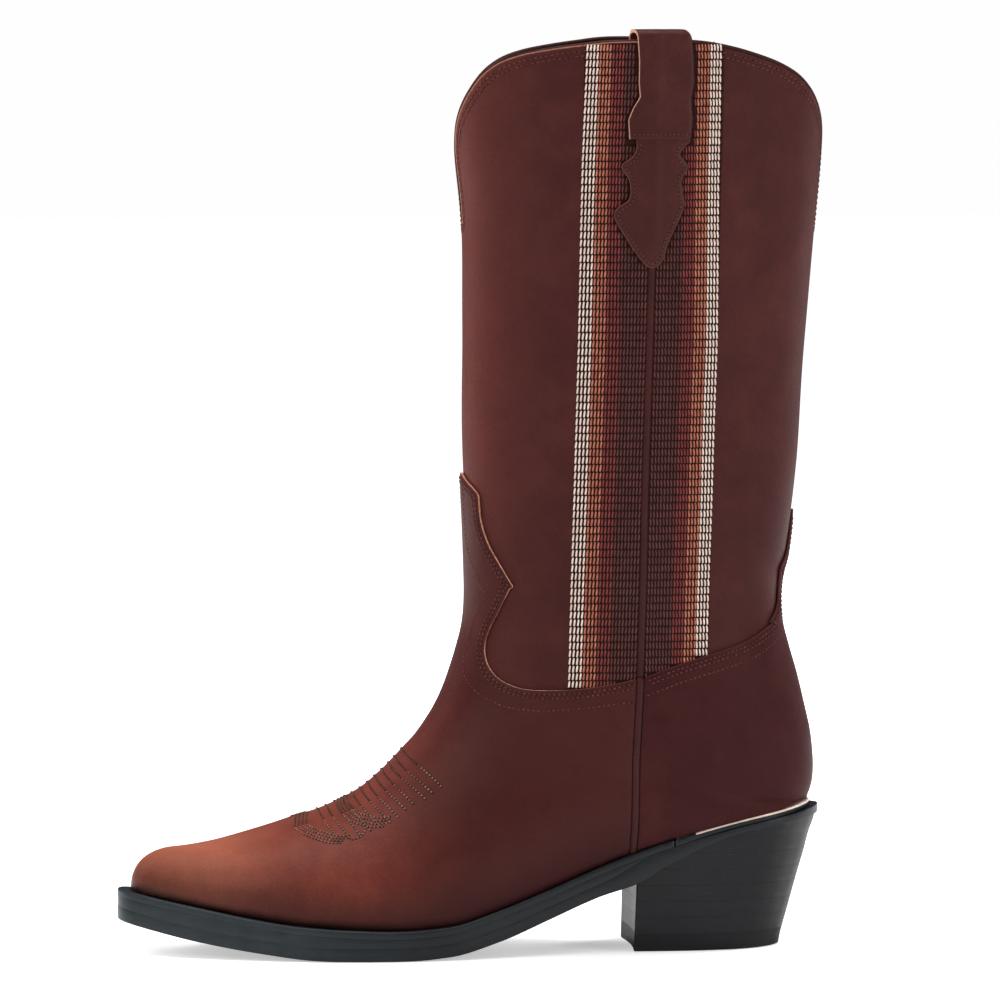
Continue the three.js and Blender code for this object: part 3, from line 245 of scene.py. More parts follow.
def unit(vectors):
    return vectors / np.maximum(np.linalg.norm(vectors, axis=-1, keepdims=True), 1e-12)


def tangents(points, closed=True):
    if closed:
        return unit(np.roll(points, -1, 0) - np.roll(points, 1, 0))
    return unit(np.vstack([points[1:2] - points[:1], points[2:] - points[:-2],
                           points[-1:] - points[-2:-1]]))


# ------------------------------------------------------- the surface of the upper
# A spot on it is (along, around): along counts the sections from the top of the shaft, around
# runs from 0 at the front line to -1 (lateral) or 1 (medial) at the back line or the sole.
def section(along):
    along = np.clip(along, 0, LAST - 1e-9)
    i = np.floor(along).astype(int)
    part = (along - i)[..., None]
    before, start = SECTIONS[np.maximum(i - 1, 0)], SECTIONS[i]
    end, after = SECTIONS[np.minimum(i + 1, LAST)], SECTIONS[np.minimum(i + 2, LAST)]
    return 0.5 * (2 * start + (end - before) * part
                  + (2 * before - 5 * start + 4 * end - after) * part ** 2
                  + (3 * start - before - 3 * end + after) * part ** 3)


def opening(rows, around):
    """Half width, and how many quarter turns the section makes before its open gap."""
    half = np.where(around < 0, rows[..., 4], rows[..., 5])
    gap = np.maximum(np.where(around < 0, rows[..., 6], rows[..., 7]), 0)
    return half, 2 - (2 / np.pi) * np.arcsin(np.minimum(gap / half, 0.999) ** (1 / POWER))


def surface(along, around):
    along, around = np.broadcast_arrays(np.asarray(along, float), np.asarray(around, float))
    rows, turn = section(along), np.minimum(np.abs(around), 1)
    half, quarters = opening(rows, around)
    angle = np.pi / 2 * quarters * turn
    part = (1 - np.cos(angle)) / (1 - np.cos(np.pi / 2 * quarters))
    y = np.sign(around) * half * np.maximum(np.sin(angle), 0) ** POWER
    return np.stack([rows[..., 0] + (rows[..., 2] - rows[..., 0]) * part, y,
                     rows[..., 1] + (rows[..., 3] - rows[..., 1]) * part], -1)


def normal(along, around):
    along, around = np.broadcast_arrays(np.asarray(along, float), np.asarray(around, float))
    reach, turn = 4e-3, 6e-3
    down = surface(np.minimum(along + reach, LAST), around) \
        - surface(np.maximum(along - reach, 0), around)
    across = surface(along, np.minimum(around + turn, 1)) \
        - surface(along, np.maximum(around - turn, -1))
    result = unit(np.cross(across, down))
    rows = section(along)
    # no sideways part on the front line, nor on the back line where the section is closed
    closed = np.clip(1 - np.maximum(rows[..., 6], rows[..., 7]) / 8, 0, 1) \
        * np.clip((np.abs(around) - 0.985) / 0.015, 0, 1)
    result[..., 1] *= 1 - closed
    result[..., 1] *= np.clip(np.abs(around) / 0.01, 0, 1)
    # the last sections turn towards the toe
    tip = np.clip((along - (LAST - 2.2)) / 2.0, 0, 1)[..., None]
    return unit(result * (1 - tip) + unit(result * 0.35 + np.array([-0.95, 0, 0.12])) * tip)


def sway(points):
    """Slight unevenness of hand-lasted leather."""
    x, y, z = points[..., 0], points[..., 1], points[..., 2]
    shaft = 0.34 * np.clip((z - 110) / 120, 0, 1) * (
        np.sin(x / 17.0 + z / 61.0 + 0.6) * np.cos(z / 43.0 + y / 23.0)
        + 0.6 * np.sin(y / 11.0 - z / 37.0 + 1.1))
    ripple = 0.10 * (np.sin(x / 9.0 + y / 7.0) * np.sin(z / 8.0 + 0.4)
                     + np.sin(x / 21.0 - z / 12.0))
    ankle = np.exp(-((z - 128) / 26) ** 2) * np.exp(-((x - 4) / 34) ** 2)
    creases = 0.30 * ankle * np.sin((z * 0.9 - x * 0.5) / 5.2) * np.clip(np.abs(y) / 20, 0, 1)
    return shaft + ripple + creases


def at(spots, level):
    """Points at a level off the surface, sway included."""
    points = surface(*spots.T)
    return points + normal(*spots.T) * (np.asarray(level, float)[..., None]
                                        + sway(points)[..., None])


def seam_shift(z, side):
    rise = np.clip((np.asarray(z, float) - SEAM_BOTTOM) / SEAM_LEAN_HEIGHT, 0, 1)
    return np.where(side > 0, SEAM_LEAN * rise, 0.0)


def seam_x(z, side=-1):
    return lookup(SEAM, z) + seam_shift(z, side)


def over_seam(x, z, side):
    """1 over the side seam, fading to 0 away from it."""
    return np.exp(-((x - seam_x(z, side)) / SEAM_BULGE) ** 2)


SCAN_STEP = 0.02
SCAN = np.arange(0, LAST, SCAN_STEP)
SCAN_ROWS = section(SCAN)


def locate(x, z, side):
    """Side view positions to spots."""
    x, z = np.atleast_1d(np.asarray(x, float)), np.atleast_1d(np.asarray(z, float))
    front_x, front_z = SCAN_ROWS[None, :, 0], SCAN_ROWS[None, :, 1]
    run, rise = SCAN_ROWS[None, :, 2] - front_x, SCAN_ROWS[None, :, 3] - front_z
    offside = run * (z[:, None] - front_z) - rise * (x[:, None] - front_x)
    part = ((x[:, None] - front_x) * run + (z[:, None] - front_z) * rise) / (run ** 2 + rise ** 2)
    crossed = ((offside[:, :-1] >= 0) != (offside[:, 1:] >= 0)) \
        & (part[:, :-1] > -0.06) & (part[:, :-1] < 1.06)
    i = np.argmax(crossed, 1)
    each = np.arange(len(x))
    before, after = offside[each, i], offside[each, i + 1]
    along = SCAN[i] + SCAN_STEP * before / (before - after)
    rows = section(along)
    run, rise = rows[:, 2] - rows[:, 0], rows[:, 3] - rows[:, 1]
    part = ((x - rows[:, 0]) * run + (z - rows[:, 1]) * rise) / (run ** 2 + rise ** 2)
    part = np.clip(part, 0, 1)
    quarters = opening(rows, side)[1]
    angle = np.arccos(1 - part * (1 - np.cos(np.pi / 2 * quarters)))
    return np.stack([along, side * angle / (np.pi / 2 * quarters)], 1)


def side_line(points, side):
    return locate(*np.asarray(points, float).T, side)


def seam_line(side, offset, z_from, z_to, count):
    z = np.linspace(z_from, z_to, count)
    return locate(seam_x(z, side) + offset, z, side)


def level(z):
    """Where the front line has height z, on the shaft."""
    z = np.asarray(z, float)
    return bisect(np.zeros_like(z), np.full_like(z, 8.0),
                  lambda along: section(along)[..., 1] > z, 40)


def level_cut(z, side, arounds):
    """Spots where the surface has height z."""
    count = len(arounds)
    along = bisect(np.zeros(count), np.full(count, 22.0),
                   lambda middle: surface(middle, side * arounds)[:, 2] > z, 36)
    return np.stack([along, side * arounds], 1)


def around_for(y, half, most=1):
    """Distance around from the front line (or from the back line) at sideways distance y."""
    return np.arcsin(np.clip(y / half, 0, most) ** (1 / POWER)) / np.pi


def from_end_view(target, along, around):
    """Spots whose y and z match the target, found from a first guess."""
    spots = np.stack([along, around], 1).astype(float)
    delta = 1e-4
    for _ in range(25):
        points = surface(*spots.T)[:, 1:]
        miss = target - points
        down = (surface(spots[:, 0] + delta, spots[:, 1])[:, 1:] - points) / delta
        across = (surface(spots[:, 0], spots[:, 1] + delta)[:, 1:] - points) / delta
        det = down[:, 0] * across[:, 1] - down[:, 1] * across[:, 0]
        det = np.where(np.abs(det) < 1e-6, 1e-6, det)
        move = (miss[:, 0] * across[:, 1] - miss[:, 1] * across[:, 0]) / det
        turn = (down[:, 0] * miss[:, 1] - down[:, 1] * miss[:, 0]) / det
        spots[:, 0] += np.clip(move, -1, 1) * 0.8
        spots[:, 1] += np.clip(turn, -0.1, 0.1) * 0.8
    return spots


def walk(spots, step):
    """Moves spots along the surface by a 3-D step each."""
    spots = spots.astype(float)
    delta, rounds = 1e-3, 4
    for _ in range(rounds):
        along, around = spots[:, 0], spots[:, 1]
        down = (surface(along + delta, around) - surface(along - delta, around)) / (2 * delta)
        across = (surface(along, around + delta) - surface(along, around - delta)) / (2 * delta)
        down_sq, mixed = (down * down).sum(1), (down * across).sum(1)
        across_sq = (across * across).sum(1)
        want_down, want_across = (down * step).sum(1) / rounds, (across * step).sum(1) / rounds
        det = down_sq * across_sq - mixed * mixed
        sound = det > 1e-3 * np.maximum(down_sq, 1e-6) * np.maximum(across_sq, 1e-6)
        det = np.where(sound, det, 1.0)
        move = (want_down * across_sq - mixed * want_across) / det
        turn = (down_sq * want_across - mixed * want_down) / det
        spots[:, 0] += np.where(sound, np.clip(move, -0.6, 0.6), 0)
        spots[:, 1] += np.where(sound, np.clip(turn, -0.06, 0.06), 0)
        spots[:, 0] = np.clip(spots[:, 0], 0, LAST - 0.01)
        spots[:, 1] = np.clip(spots[:, 1], -1, 1)
    return spots


def offset_line(line, distance, inward):
    """A line moved sideways on the surface; inward is a spot on the wanted side."""
    points, normals = surface(*line.T), normal(*line.T)
    sideways = unit(np.cross(tangents(points, False), normals))
    # a gentle smoothing keeps the offset clean in tight corners
    reach = 5
    padded = np.vstack([sideways[:1]] * reach + [sideways] + [sideways[-1:]] * reach)
    kernel = np.ones(2 * reach + 1) / (2 * reach + 1)
    sideways = unit(np.stack([np.convolve(padded[:, i], kernel, "valid") for i in range(3)], 1))
    target = surface(*inward)
    i = int(np.argmin(np.linalg.norm(points - target, axis=1)))
    if np.dot(target - points[i], sideways[i]) < 0:
        sideways = -sideways
    return walk(line, sideways * distance)


# ---------------------------------------------------------------- flat chart
# A flat map of the upper, in millimetres, cut open at the back line, or at the front if back.
chart_along = np.linspace(0, LAST, 721)
chart_points = surface(chart_along[:, None], np.linspace(-1, 1, 61)[None, :])
chart_length = np.r_[0, np.cumsum(np.linalg.norm(np.diff(chart_points, axis=0), axis=2).mean(1))]
chart_half = np.maximum(
    np.linalg.norm(np.diff(chart_points, axis=1), axis=2).sum(1) / 2, 6.0)


def to_chart(spots, back=False):
    along, around = spots[:, 0], spots[:, 1]
    if back:
        around = np.where(around < 0, around + 1, around - 1)
    return np.stack([around * np.interp(along, chart_along, chart_half),
                     np.interp(along, chart_along, chart_length)], 1)


def from_chart(flat, back=False):
    along = np.interp(flat[:, 1], chart_length, chart_along)
    around = flat[:, 0] / np.interp(along, chart_along, chart_half)
    if back:
        around = np.where(around >= 0, around - 1, around + 1)
    return np.stack([along, np.clip(around, -1, 1)], 1)


def tidy(line, gap, closed=True, back=False):
    """Evens out a line so that its points are about gap apart."""
    loop = np.vstack([line, line[:1]]) if closed else line
    reach = arc_length(surface(*loop.T))
    keep = np.r_[True, np.diff(reach) > 1e-6]
    reach, loop = reach[keep], loop[keep]
    places = np.linspace(0, reach[-1], max(int(reach[-1] / gap), 8) + 1)
    even = from_chart(sample(places, reach, to_chart(loop, back)), back)
    return even[:-1] if closed else even


def drop_repeats(line, back):
    apart = np.linalg.norm(np.diff(to_chart(line, back), axis=0), axis=1)
    return line[np.r_[True, apart > 1e-5]]


def both_sides(half):
    """Closed outline from half(side), run down the lateral side and back up the medial."""
    return np.vstack([half(-1), half(1)[::-1]])


def double_area(outline):
    after = np.roll(outline, -1, 0)
    return float((outline[:, 0] * after[:, 1] - after[:, 0] * outline[:, 1]).sum())


def ccw(outline):
    return outline if double_area(outline) > 0 else outline[::-1]


CHUNK = 4000    # points handled at once, to bound the memory


def inside(points, outline):
    result = np.zeros(len(points), bool)
    start, end = outline, np.roll(outline, -1, 0)
    rise = np.where(np.abs(end[:, 1] - start[:, 1]) < 1e-12, 1e-12, end[:, 1] - start[:, 1])
    for first in range(0, len(points), CHUNK):
        part = points[first:first + CHUNK]
        spans = (start[None, :, 1] > part[:, None, 1]) != (end[None, :, 1] > part[:, None, 1])
        xs = start[None, :, 0] + (part[:, None, 1] - start[None, :, 1]) \
            * ((end[:, 0] - start[:, 0]) / rise)[None, :]
        hits = (spans & (part[:, None, 0] < xs)).sum(1)
        result[first:first + CHUNK] = (hits % 2) == 1
    return result


def edge_distance(points, outline):
    result = np.zeros(len(points))
    run = np.roll(outline, -1, 0) - outline
    squares = np.maximum((run * run).sum(1), 1e-12)
    for first in range(0, len(points), CHUNK):
        part = points[first:first + CHUNK]
        share = ((part[:, None] - outline[None]) * run[None]).sum(2) / squares[None]
        nearest = outline[None] + np.clip(share, 0, 1)[..., None] * run[None]
        away = part[:, None] - nearest
        result[first:first + CHUNK] = np.sqrt((away * away).sum(2).min(1))
    return result


def triangulate(outline, step):
    """Fills a 2-D outline. Returns points (the outline's first, in order) and triangles."""
    low, high = outline.min(0), outline.max(0)
    grid = []
    for i, y in enumerate(np.arange(low[1] + step * 0.45, high[1], step * 0.866)):
        xs = np.arange(low[0] + (step / 2 if i % 2 else 0), high[0], step)
        grid.append(np.stack([xs, np.full(len(xs), y)], 1))
    grid = np.vstack(grid)
    grid = grid[inside(grid, outline)]
    grid = grid[edge_distance(grid, outline) > step * 0.5]
    points = np.vstack([outline, grid])
    rim = len(outline)
    edges = [(i, (i + 1) % rim) for i in range(rim)]
    result = delaunay_2d_cdt([Vector((float(x), float(y))) for x, y in points],
                             edges, [], 0, 1e-7, True)
    found = np.array([(v.x, v.y) for v in result[0]])
    original = np.array([ids[0] if len(ids) else -1 for ids in result[3]])
    faces = np.array([face[:3] for face in result[2]], int)
    faces = faces[inside(found[faces].mean(1), outline)]
    corners = found[faces]
    one, two = corners[:, 1] - corners[:, 0], corners[:, 2] - corners[:, 0]
    area = one[:, 0] * two[:, 1] - one[:, 1] * two[:, 0]
    faces = np.where((area < 0)[:, None], faces[:, ::-1], faces)
    faces = original[faces[np.abs(area) > 1e-9]]
    return points, faces[(faces >= 0).all(1)]


# ---------------------------------------------------------------- mesh writing
def build(name, points, parts, mats, slot, node=None, crease=None, uv=None):
    """Writes an object; parts are (faces, material index), node is the frame piece replaced."""
    points = ((np.asarray(points, float) + SHIFT) / 1000).astype(np.float32)
    parts = [(np.asarray(faces, np.int32), index) for faces, index in parts if len(faces)]
    sizes = np.concatenate([np.full(len(faces), faces.shape[1]) for faces, _ in parts])
    indices = np.concatenate([np.full(len(faces), index, np.int32) for faces, index in parts])
    corners = np.concatenate([faces.ravel() for faces, _ in parts])
    mesh = bpy.data.meshes.new(name)
    mesh.vertices.add(len(points))
    mesh.vertices.foreach_set("co", points.ravel())
    mesh.loops.add(len(corners))
    mesh.loops.foreach_set("vertex_index", corners)
    mesh.polygons.add(len(sizes))
    mesh.polygons.foreach_set("loop_start", np.r_[0, np.cumsum(sizes)[:-1]].astype(np.int32))
    mesh.polygons.foreach_set("material_index", indices)
    mesh.update(calc_edges=True)
    if uv is not None:
        layer = mesh.uv_layers.new(name="flat")
        vertex = np.zeros(len(mesh.loops), np.int32)
        mesh.loops.foreach_get("vertex_index", vertex)
        layer.data.foreach_set("uv", np.asarray(uv, np.float32)[vertex].ravel())
    mesh.validate()
    mesh.polygons.foreach_set("use_smooth", np.full(len(mesh.polygons), True))
    for mat in mats:
        mesh.materials.append(mat)
    if crease is not None:
        mesh.set_sharp_from_angle(angle=math.radians(crease))
    obj = bpy.data.objects.new(name, mesh)
    bpy.context.scene.collection.objects.link(obj)
    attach(obj, "root")
    if node:
        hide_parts(node)


def strip(first, second):
    """Quads between two closed rings of vertex numbers."""
    return np.stack([first, np.roll(first, -1), np.roll(second, -1), second], 1)


def tube_quads(count, size):
    """Quads joining count rings of size points each, one after the other."""
    rings = np.arange(count * size).reshape(count, size)
    return np.vstack([strip(rings[i], rings[i + 1]) for i in range(count - 1)])


def end_fans(count, size):
    """Triangles closing a tube; the two centre points follow its rings."""
    first = np.arange(size)
    last = first + (count - 1) * size
    centre = count * size
    return [np.stack([np.roll(first, -1), first, np.full(size, centre)], 1),
            np.stack([last, np.roll(last, -1), np.full(size, centre + 1)], 1)]


def relax_sheet(points, normals, faces, weights):
    """Evens out points and normals in place, each by its weight."""
    edges = np.vstack([faces[:, [0, 1]], faces[:, [1, 2]], faces[:, [2, 0]]])
    edges = np.unique(np.sort(edges, axis=1), axis=0)
    degree = np.maximum(np.bincount(edges.ravel(), minlength=len(points)), 1)[:, None]
    for _ in range(int(30 * (1.55 / STEP) ** 2)):
        for values in (points, normals):
            total = np.zeros_like(values)
            np.add.at(total, edges[:, 0], values[edges[:, 1]])
            np.add.at(total, edges[:, 1], values[edges[:, 0]])
            values += (total / degree - values) * 0.5 * weights


def panel(name, outline, inner, outer, mats, slot, node, back=False, step=STEP, round_out=0.30,
          floor=None, puff=None, uv_map=None, bare=None, relax=None):
    """One sheet of leather inside a closed outline of spots, between two levels.

    mats are face, cut edge and flesh side. puff(points, edge distance) raises the outer face,
    bare(points) tells where the cut edge shows, relax(points) weights an evening out,
    and floor keeps the sheet that far above the sole's top."""
    flat = to_chart(outline, back)
    if double_area(flat) < 0:
        flat, outline = flat[::-1], outline[::-1]
    filled, faces = triangulate(flat, step)
    rim = len(outline)
    spots = np.vstack([outline, from_chart(filled[rim:], back)])
    points, normals = surface(*spots.T), normal(*spots.T)
    points = points + normals * sway(points)[:, None]
    count = len(points)
    if relax is not None:
        weights = relax(points)[:, None] * (np.arange(count) >= rim)[:, None]
        relax_sheet(points, normals, faces, weights)
        normals = unit(normals)
    lift = np.zeros(count) if puff is None else puff(points, edge_distance(filled, flat))
    verts = [points + normals * (outer + lift)[:, None], points + normals * inner]
    outwards = unit(np.cross(tangents(points[:rim]), normals[:rim]))
    radius, middle = (outer - inner) / 2, (inner + outer) / 2
    rings, first = [np.arange(rim)], 2 * count
    for degrees in (30, 62, 90, 118, 150):
        angle = math.radians(degrees)
        height = middle + radius * math.cos(angle) + lift[:rim] * (1 + math.cos(angle)) / 2
        verts.append(points[:rim] + normals[:rim] * height[:, None]
                     + outwards * (round_out * math.sin(angle)))
        rings.append(np.arange(first, first + rim))
        first += rim
    rings.append(np.arange(rim) + count)
    verts = np.vstack(verts)
    if floor is not None:
        verts[:, 2] = np.maximum(verts[:, 2], sole_top(verts[:, 0]) + floor)
    parts = [(faces, 0), (faces[:, ::-1] + count, min(2, len(mats) - 1))]
    shown = np.ones(rim, bool) if bare is None else bare(points[:rim])
    for i in range(len(rings) - 1):
        quads = strip(rings[i], rings[i + 1])[:, ::-1]
        if 1 <= i <= 4:
            parts += [(quads[shown], min(1, len(mats) - 1)), (quads[~shown], 0)]
        else:
            parts.append((quads, 0))
    uv = None
    if uv_map is not None:
        places = uv_map(spots)
        uv = np.vstack([places, places] + [places[:rim]] * 5)
    build(name, verts, parts, mats, slot, node, uv=uv)


def cord(name, centres, normals, profile, mats, slot, node, closed=False, second=None):
    """Sweeps a closed profile (across, out) along a path; second marks quads of material 1."""
    across = unit(np.cross(tangents(centres, closed), normals))
    out = unit(np.cross(across, tangents(centres, closed)))
    count, size = len(centres), len(profile)
    points = centres[:, None] + across[:, None] * profile[None, :, 0:1] \
        + out[:, None] * profile[None, :, 1:2]
    points = points.reshape(-1, 3)
    quads = tube_quads(count, size)
    if closed:
        ring = np.arange(size)
        quads = np.vstack([quads, strip(ring + (count - 1) * size, ring)])
    if second is None:
        second = np.zeros(len(quads), bool)
    parts = [(quads[~second], 0), (quads[second], 1)]
    if not closed:
        points = np.vstack([points, centres[:1], centres[-1:]])
        parts += [(fan, 0) for fan in end_fans(count, size)]
    # faces point out when the profile runs the right way
    if double_area(profile) > 0:
        parts = [(faces[:, ::-1], index) for faces, index in parts]
    build(name, points, parts, mats, slot, node)


class Pile:
    """Many copies of one small shape, written as a single mesh."""

    def __init__(self, name, mat, slot, templates):
        self.name, self.mat, self.slot, self.templates = name, mat, slot, templates
        self.points, self.count = [], 0
        self.faces = [[] for _ in templates]

    def put(self, shape):
        """shape lists the corners; each entry holds that corner for every copy."""
        points = np.stack(shape, 1)
        first = self.count + np.arange(len(points)) * len(shape)
        for faces, template in zip(self.faces, self.templates):
            faces.append((template[None] + first[:, None, None]).reshape(-1, template.shape[1]))
        self.points.append(points.reshape(-1, 3))
        self.count += len(points) * len(shape)

    def write(self):
        parts = [(np.vstack(faces)[:, ::-1], 0) for faces in self.faces]
        build(self.name, np.vstack(self.points), parts, [self.mat], self.slot)


class Holes(Pile):
    """Needle holes: small closed lenses let into the leather, near black as painted shade in the
    holes.
    """

    def __init__(self, name, mat, slot):
        lens = [[j, (j + 1) % 6, 6] for j in range(6)] + [[(j + 1) % 6, j, 7] for j in range(6)]
        super().__init__(name, mat, slot, [np.array(lens)])

    def add(self, centres, directions, normals, along, across):
        directions = unit(directions)
        sideways = unit(np.cross(directions, normals))
        shape = [centres + directions * (along * math.cos(a)) + sideways * (across * math.sin(a))
                 + normals * 0.015 for a in np.linspace(0, 2 * math.pi, 6, endpoint=False)]
        self.put(shape + [centres + normals * 0.06, centres - normals * 0.35])


class Thread(Pile):
    """Stitches of one thread: arched, with their ends in the leather."""
    SHARES = (0.0, 0.16, 0.5, 0.84, 1.0)        # places of the rings along a stitch
    THICKNESS = (0.55, 0.95, 1.0, 0.95, 0.55)   # ring radius as a share of the thread's
    RING = 5

    def __init__(self, name, mat, slot):
        ring = np.arange(self.RING)
        ends = np.array([ring[::-1], ring + (len(self.SHARES) - 1) * self.RING])
        super().__init__(name, mat, slot, [tube_quads(len(self.SHARES), self.RING), ends])

    def add(self, starts, ends, normals, radius, rise):
        sideways = unit(np.cross(unit(ends - starts), normals))
        up = unit(np.cross(sideways, unit(ends - starts)))
        heights = (-0.45, 0.35 * rise, rise, 0.35 * rise, -0.45)
        shape = []
        for share, thick, height in zip(self.SHARES, self.THICKNESS, heights):
            centre = starts + (ends - starts) * share + up * (radius * height)
            for j in range(self.RING):
                a = 2 * math.pi * j / self.RING + math.pi / 2
                shape.append(centre + sideways * (radius * thick * math.cos(a))
                             + up * (radius * thick * 0.85 * math.sin(a)))
        self.put(shape)

    def row(self, line, depth, pitch, length, radius, rise=0.5, phase=0.0):
        """Stitches along a line of spots, with a hole after each."""
        reach = arc_length(surface(*line.T))
        middles = np.arange(pitch * (0.5 + phase), reach[-1] - length * 0.4, pitch)
        if not len(middles):
            return
        if not np.isscalar(depth):
            depth = np.interp(middles, reach, depth)
        starts = at(sample(middles - length / 2, reach, line), depth)
        ends = at(sample(middles + length / 2, reach, line), depth)
        self.add(starts, ends, normal(*sample(middles, reach, line).T), radius, rise)
        spots = sample(middles + pitch / 2, reach, line)
        HOLES.add(at(spots, depth), ends - starts, normal(*spots.T),
                  along=(pitch - length) / 2 + 0.10, across=radius * 1.4)


# ------------------------------------------------------------------- materials
def srgb(colour):
    shares = [c / 255 for c in colour]
    return tuple(s / 12.92 if s <= 0.04045 else ((s + 0.055) / 1.055) ** 2.4
                 for s in shares) + (1.0,)


def grey(value):
    return (value, value, value, 1)


class Mat:
    """Small helper round a node material. Inputs take a socket or a plain value."""

    def __init__(self, name):
        self.mat = bpy.data.materials.new(name)
        self.mat.use_nodes = True
        self.tree = self.mat.node_tree
        self.tree.nodes.clear()
        self.output = self.new("OutputMaterial")
        self.bsdf = self.new("BsdfPrincipled")
        self.feed(self.output.inputs[0], self.bsdf.outputs[0])
        self.place = self.new("TexCoord").outputs["Object"]

    def feed(self, socket, value):
        if isinstance(value, (int, float, tuple)):
            socket.default_value = value
        else:
            self.tree.links.new(value, socket)

    def new(self, kind, inputs=None, **settings):
        node = self.tree.nodes.new("ShaderNode" + kind)
        for key, value in settings.items():
            setattr(node, key, value)
        for key, value in (inputs or {}).items():
            self.feed(node.inputs[key], value)
        return node

    def set(self, **inputs):
        for key, value in inputs.items():
            self.feed(self.bsdf.inputs[key.replace("_", " ")], value)

    def noise(self, scale, detail, rough, vector=None, distortion=0.0):
        return self.new("TexNoise", {"Scale": scale, "Detail": detail, "Roughness": rough,
                                     "Distortion": distortion,
                                     "Vector": vector or self.place}).outputs["Fac"]

    def voronoi(self, scale, feature="DISTANCE_TO_EDGE"):
        return self.new("TexVoronoi", {"Scale": scale, "Vector": self.place},
                        feature=feature).outputs["Distance"]

    def ramp(self, value, stops):
        node = self.new("ValToRGB", {"Fac": value})
        elements = node.color_ramp.elements
        elements[0].position, elements[0].color = stops[0]
        elements[1].position, elements[1].color = stops[-1]
        for position, colour in stops[1:-1]:
            elements.new(position).color = colour
        return node.outputs["Color"]

    def math(self, operation, first, second=0.5, clamp=False):
        return self.new("Math", {0: first, 1: second}, operation=operation,
                        use_clamp=clamp).outputs[0]

    def add(self, first, second, clamp=False):
        return self.math("ADD", first, second, clamp)

    def mul(self, first, second):
        return self.math("MULTIPLY", first, second)

    def weigh(self, first, share, second):
        """Weighted mean: share of the first, the rest of the second."""
        return self.add(self.mul(first, share), self.mul(second, 1 - share))

    def mix(self, share, first, second, mode="MIX"):
        return self.new("Mix", {0: share, 6: first, 7: second}, data_type="RGBA",
                        blend_type=mode).outputs[2]

    def stain(self, where, colour, strength, tint):
        return self.mix(where, colour, self.mix(strength, colour, srgb(tint)))

    def times(self, share, colour, tint):
        """Multiplies a colour by a constant tint, where share says."""
        return self.mix(share, colour, self.mix(1.0, colour, tint, "MULTIPLY"))

    def axis(self, k):
        return self.new("SeparateXYZ", {0: self.place}).outputs[k]

    def scaled(self, scale):
        return self.new("Mapping", {"Scale": scale, "Vector": self.place}).outputs[0]

    def span(self, value, zero, one):
        """Smooth step, 0 at zero and 1 at one."""
        return self.new("MapRange", {"From Min": zero, "From Max": one, "Value": value},
                        interpolation_type="SMOOTHSTEP").outputs[0]

    def roughness(self, value, rough):
        """Roughness between the two ends of rough."""
        self.set(Roughness=self.new(
            "MapRange", {"To Min": rough[0], "To Max": rough[1], "Value": value}).outputs[0])

    def bumps(self, *layers):
        """Chains bumps: (height socket, distance in metres, strength)."""
        last = None
        for height, distance, strength in layers:
            inputs = {"Distance": distance, "Strength": strength, "Height": height}
            if last is not None:
                inputs["Normal"] = last
            last = self.new("Bump", inputs).outputs[0]
        self.set(Normal=last)


def leather(name, dark, mid, light, gradient=None, rough=(0.36, 0.52), grain=1.0, spec=0.20):
    """Waxed smooth leather: mottling, pores, fine grain and a gradient that follows the shape
    (burnish, painted light and shade).
    """
    m = Mat(name)
    cloud = m.noise(scale=26, detail=5, rough=0.62, distortion=0.6)
    small_cloud = m.noise(scale=95, detail=4, rough=0.6)
    colour = m.ramp(m.weigh(cloud, 0.62, small_cloud),
                    [(0.30, srgb(dark)), (0.5, srgb(mid)), (0.72, srgb(light))])
    if gradient is not None:
        colour = gradient(m, colour)
    pores = m.voronoi(scale=820)
    pore_shade = m.ramp(pores, [(0.0, grey(0.72)), (0.16, grey(1))])
    colour = m.mix(0.55, colour, pore_shade, "MULTIPLY")
    fine = m.noise(scale=1500, detail=3, rough=0.6)
    fine_shade = m.ramp(fine, [(0.3, (0.78, 0.76, 0.76, 1)), (0.7, (1.12, 1.1, 1.1, 1))])
    m.roughness(m.weigh(small_cloud, 0.6, fine), rough)
    m.set(Base_Color=m.mix(0.25, colour, fine_shade, "MULTIPLY"), Specular_IOR_Level=spec,
          Specular_Tint=(1.0, 0.74, 0.64, 1.0), Coat_Roughness=0.32)
    soft = m.noise(scale=42, detail=3, rough=0.5)
    cells = m.voronoi(scale=430)
    m.bumps((soft, 0.0011, 0.10 * grain),
            (m.ramp(cells, [(0, grey(0)), (0.2, grey(1))]), 0.00012, 0.20 * grain),
            (m.ramp(pores, [(0, grey(0)), (0.22, grey(1))]), 0.00009, 0.34 * grain),
            (fine, 0.00006, 0.30 * grain))
    return m.mat


def plain(name, dark, light, scale, rough, bump, spec, metal=0.0, stretch=None):
    """Two-tone noise with a bump of the given height in metres."""
    m = Mat(name)
    vector = m.scaled(stretch) if stretch else m.place
    coarse = m.noise(scale=scale, detail=5, rough=0.6, vector=vector)
    fine = m.noise(scale=scale * 6, detail=3, rough=0.6, vector=vector)
    m.roughness(coarse, rough)
    m.set(Base_Color=m.ramp(m.weigh(coarse, 0.6, fine), [(0.32, srgb(dark)), (0.68, srgb(light))]),
          Specular_IOR_Level=spec, Metallic=metal)
    m.bumps((coarse, bump * 2, 0.3), (fine, bump, 0.5))
    return m.mat


def raw_edge(name, dark, light):
    return plain(name, dark, light, scale=900, rough=(0.7, 0.9), bump=0.00010, spec=0.2)


def thread(name, dark, light, rough=0.6, spec=0.3):
    m = Mat(name)
    coarse = m.noise(scale=380, detail=2, rough=0.5)
    fine = m.noise(scale=4200, detail=2, rough=0.6)
    m.set(Base_Color=m.ramp(m.weigh(coarse, 0.7, fine), [(0.36, srgb(dark)), (0.64, srgb(light))]),
          Roughness=rough, Specular_IOR_Level=spec)
    m.bumps((fine, 0.00008, 0.5))
    return m.mat
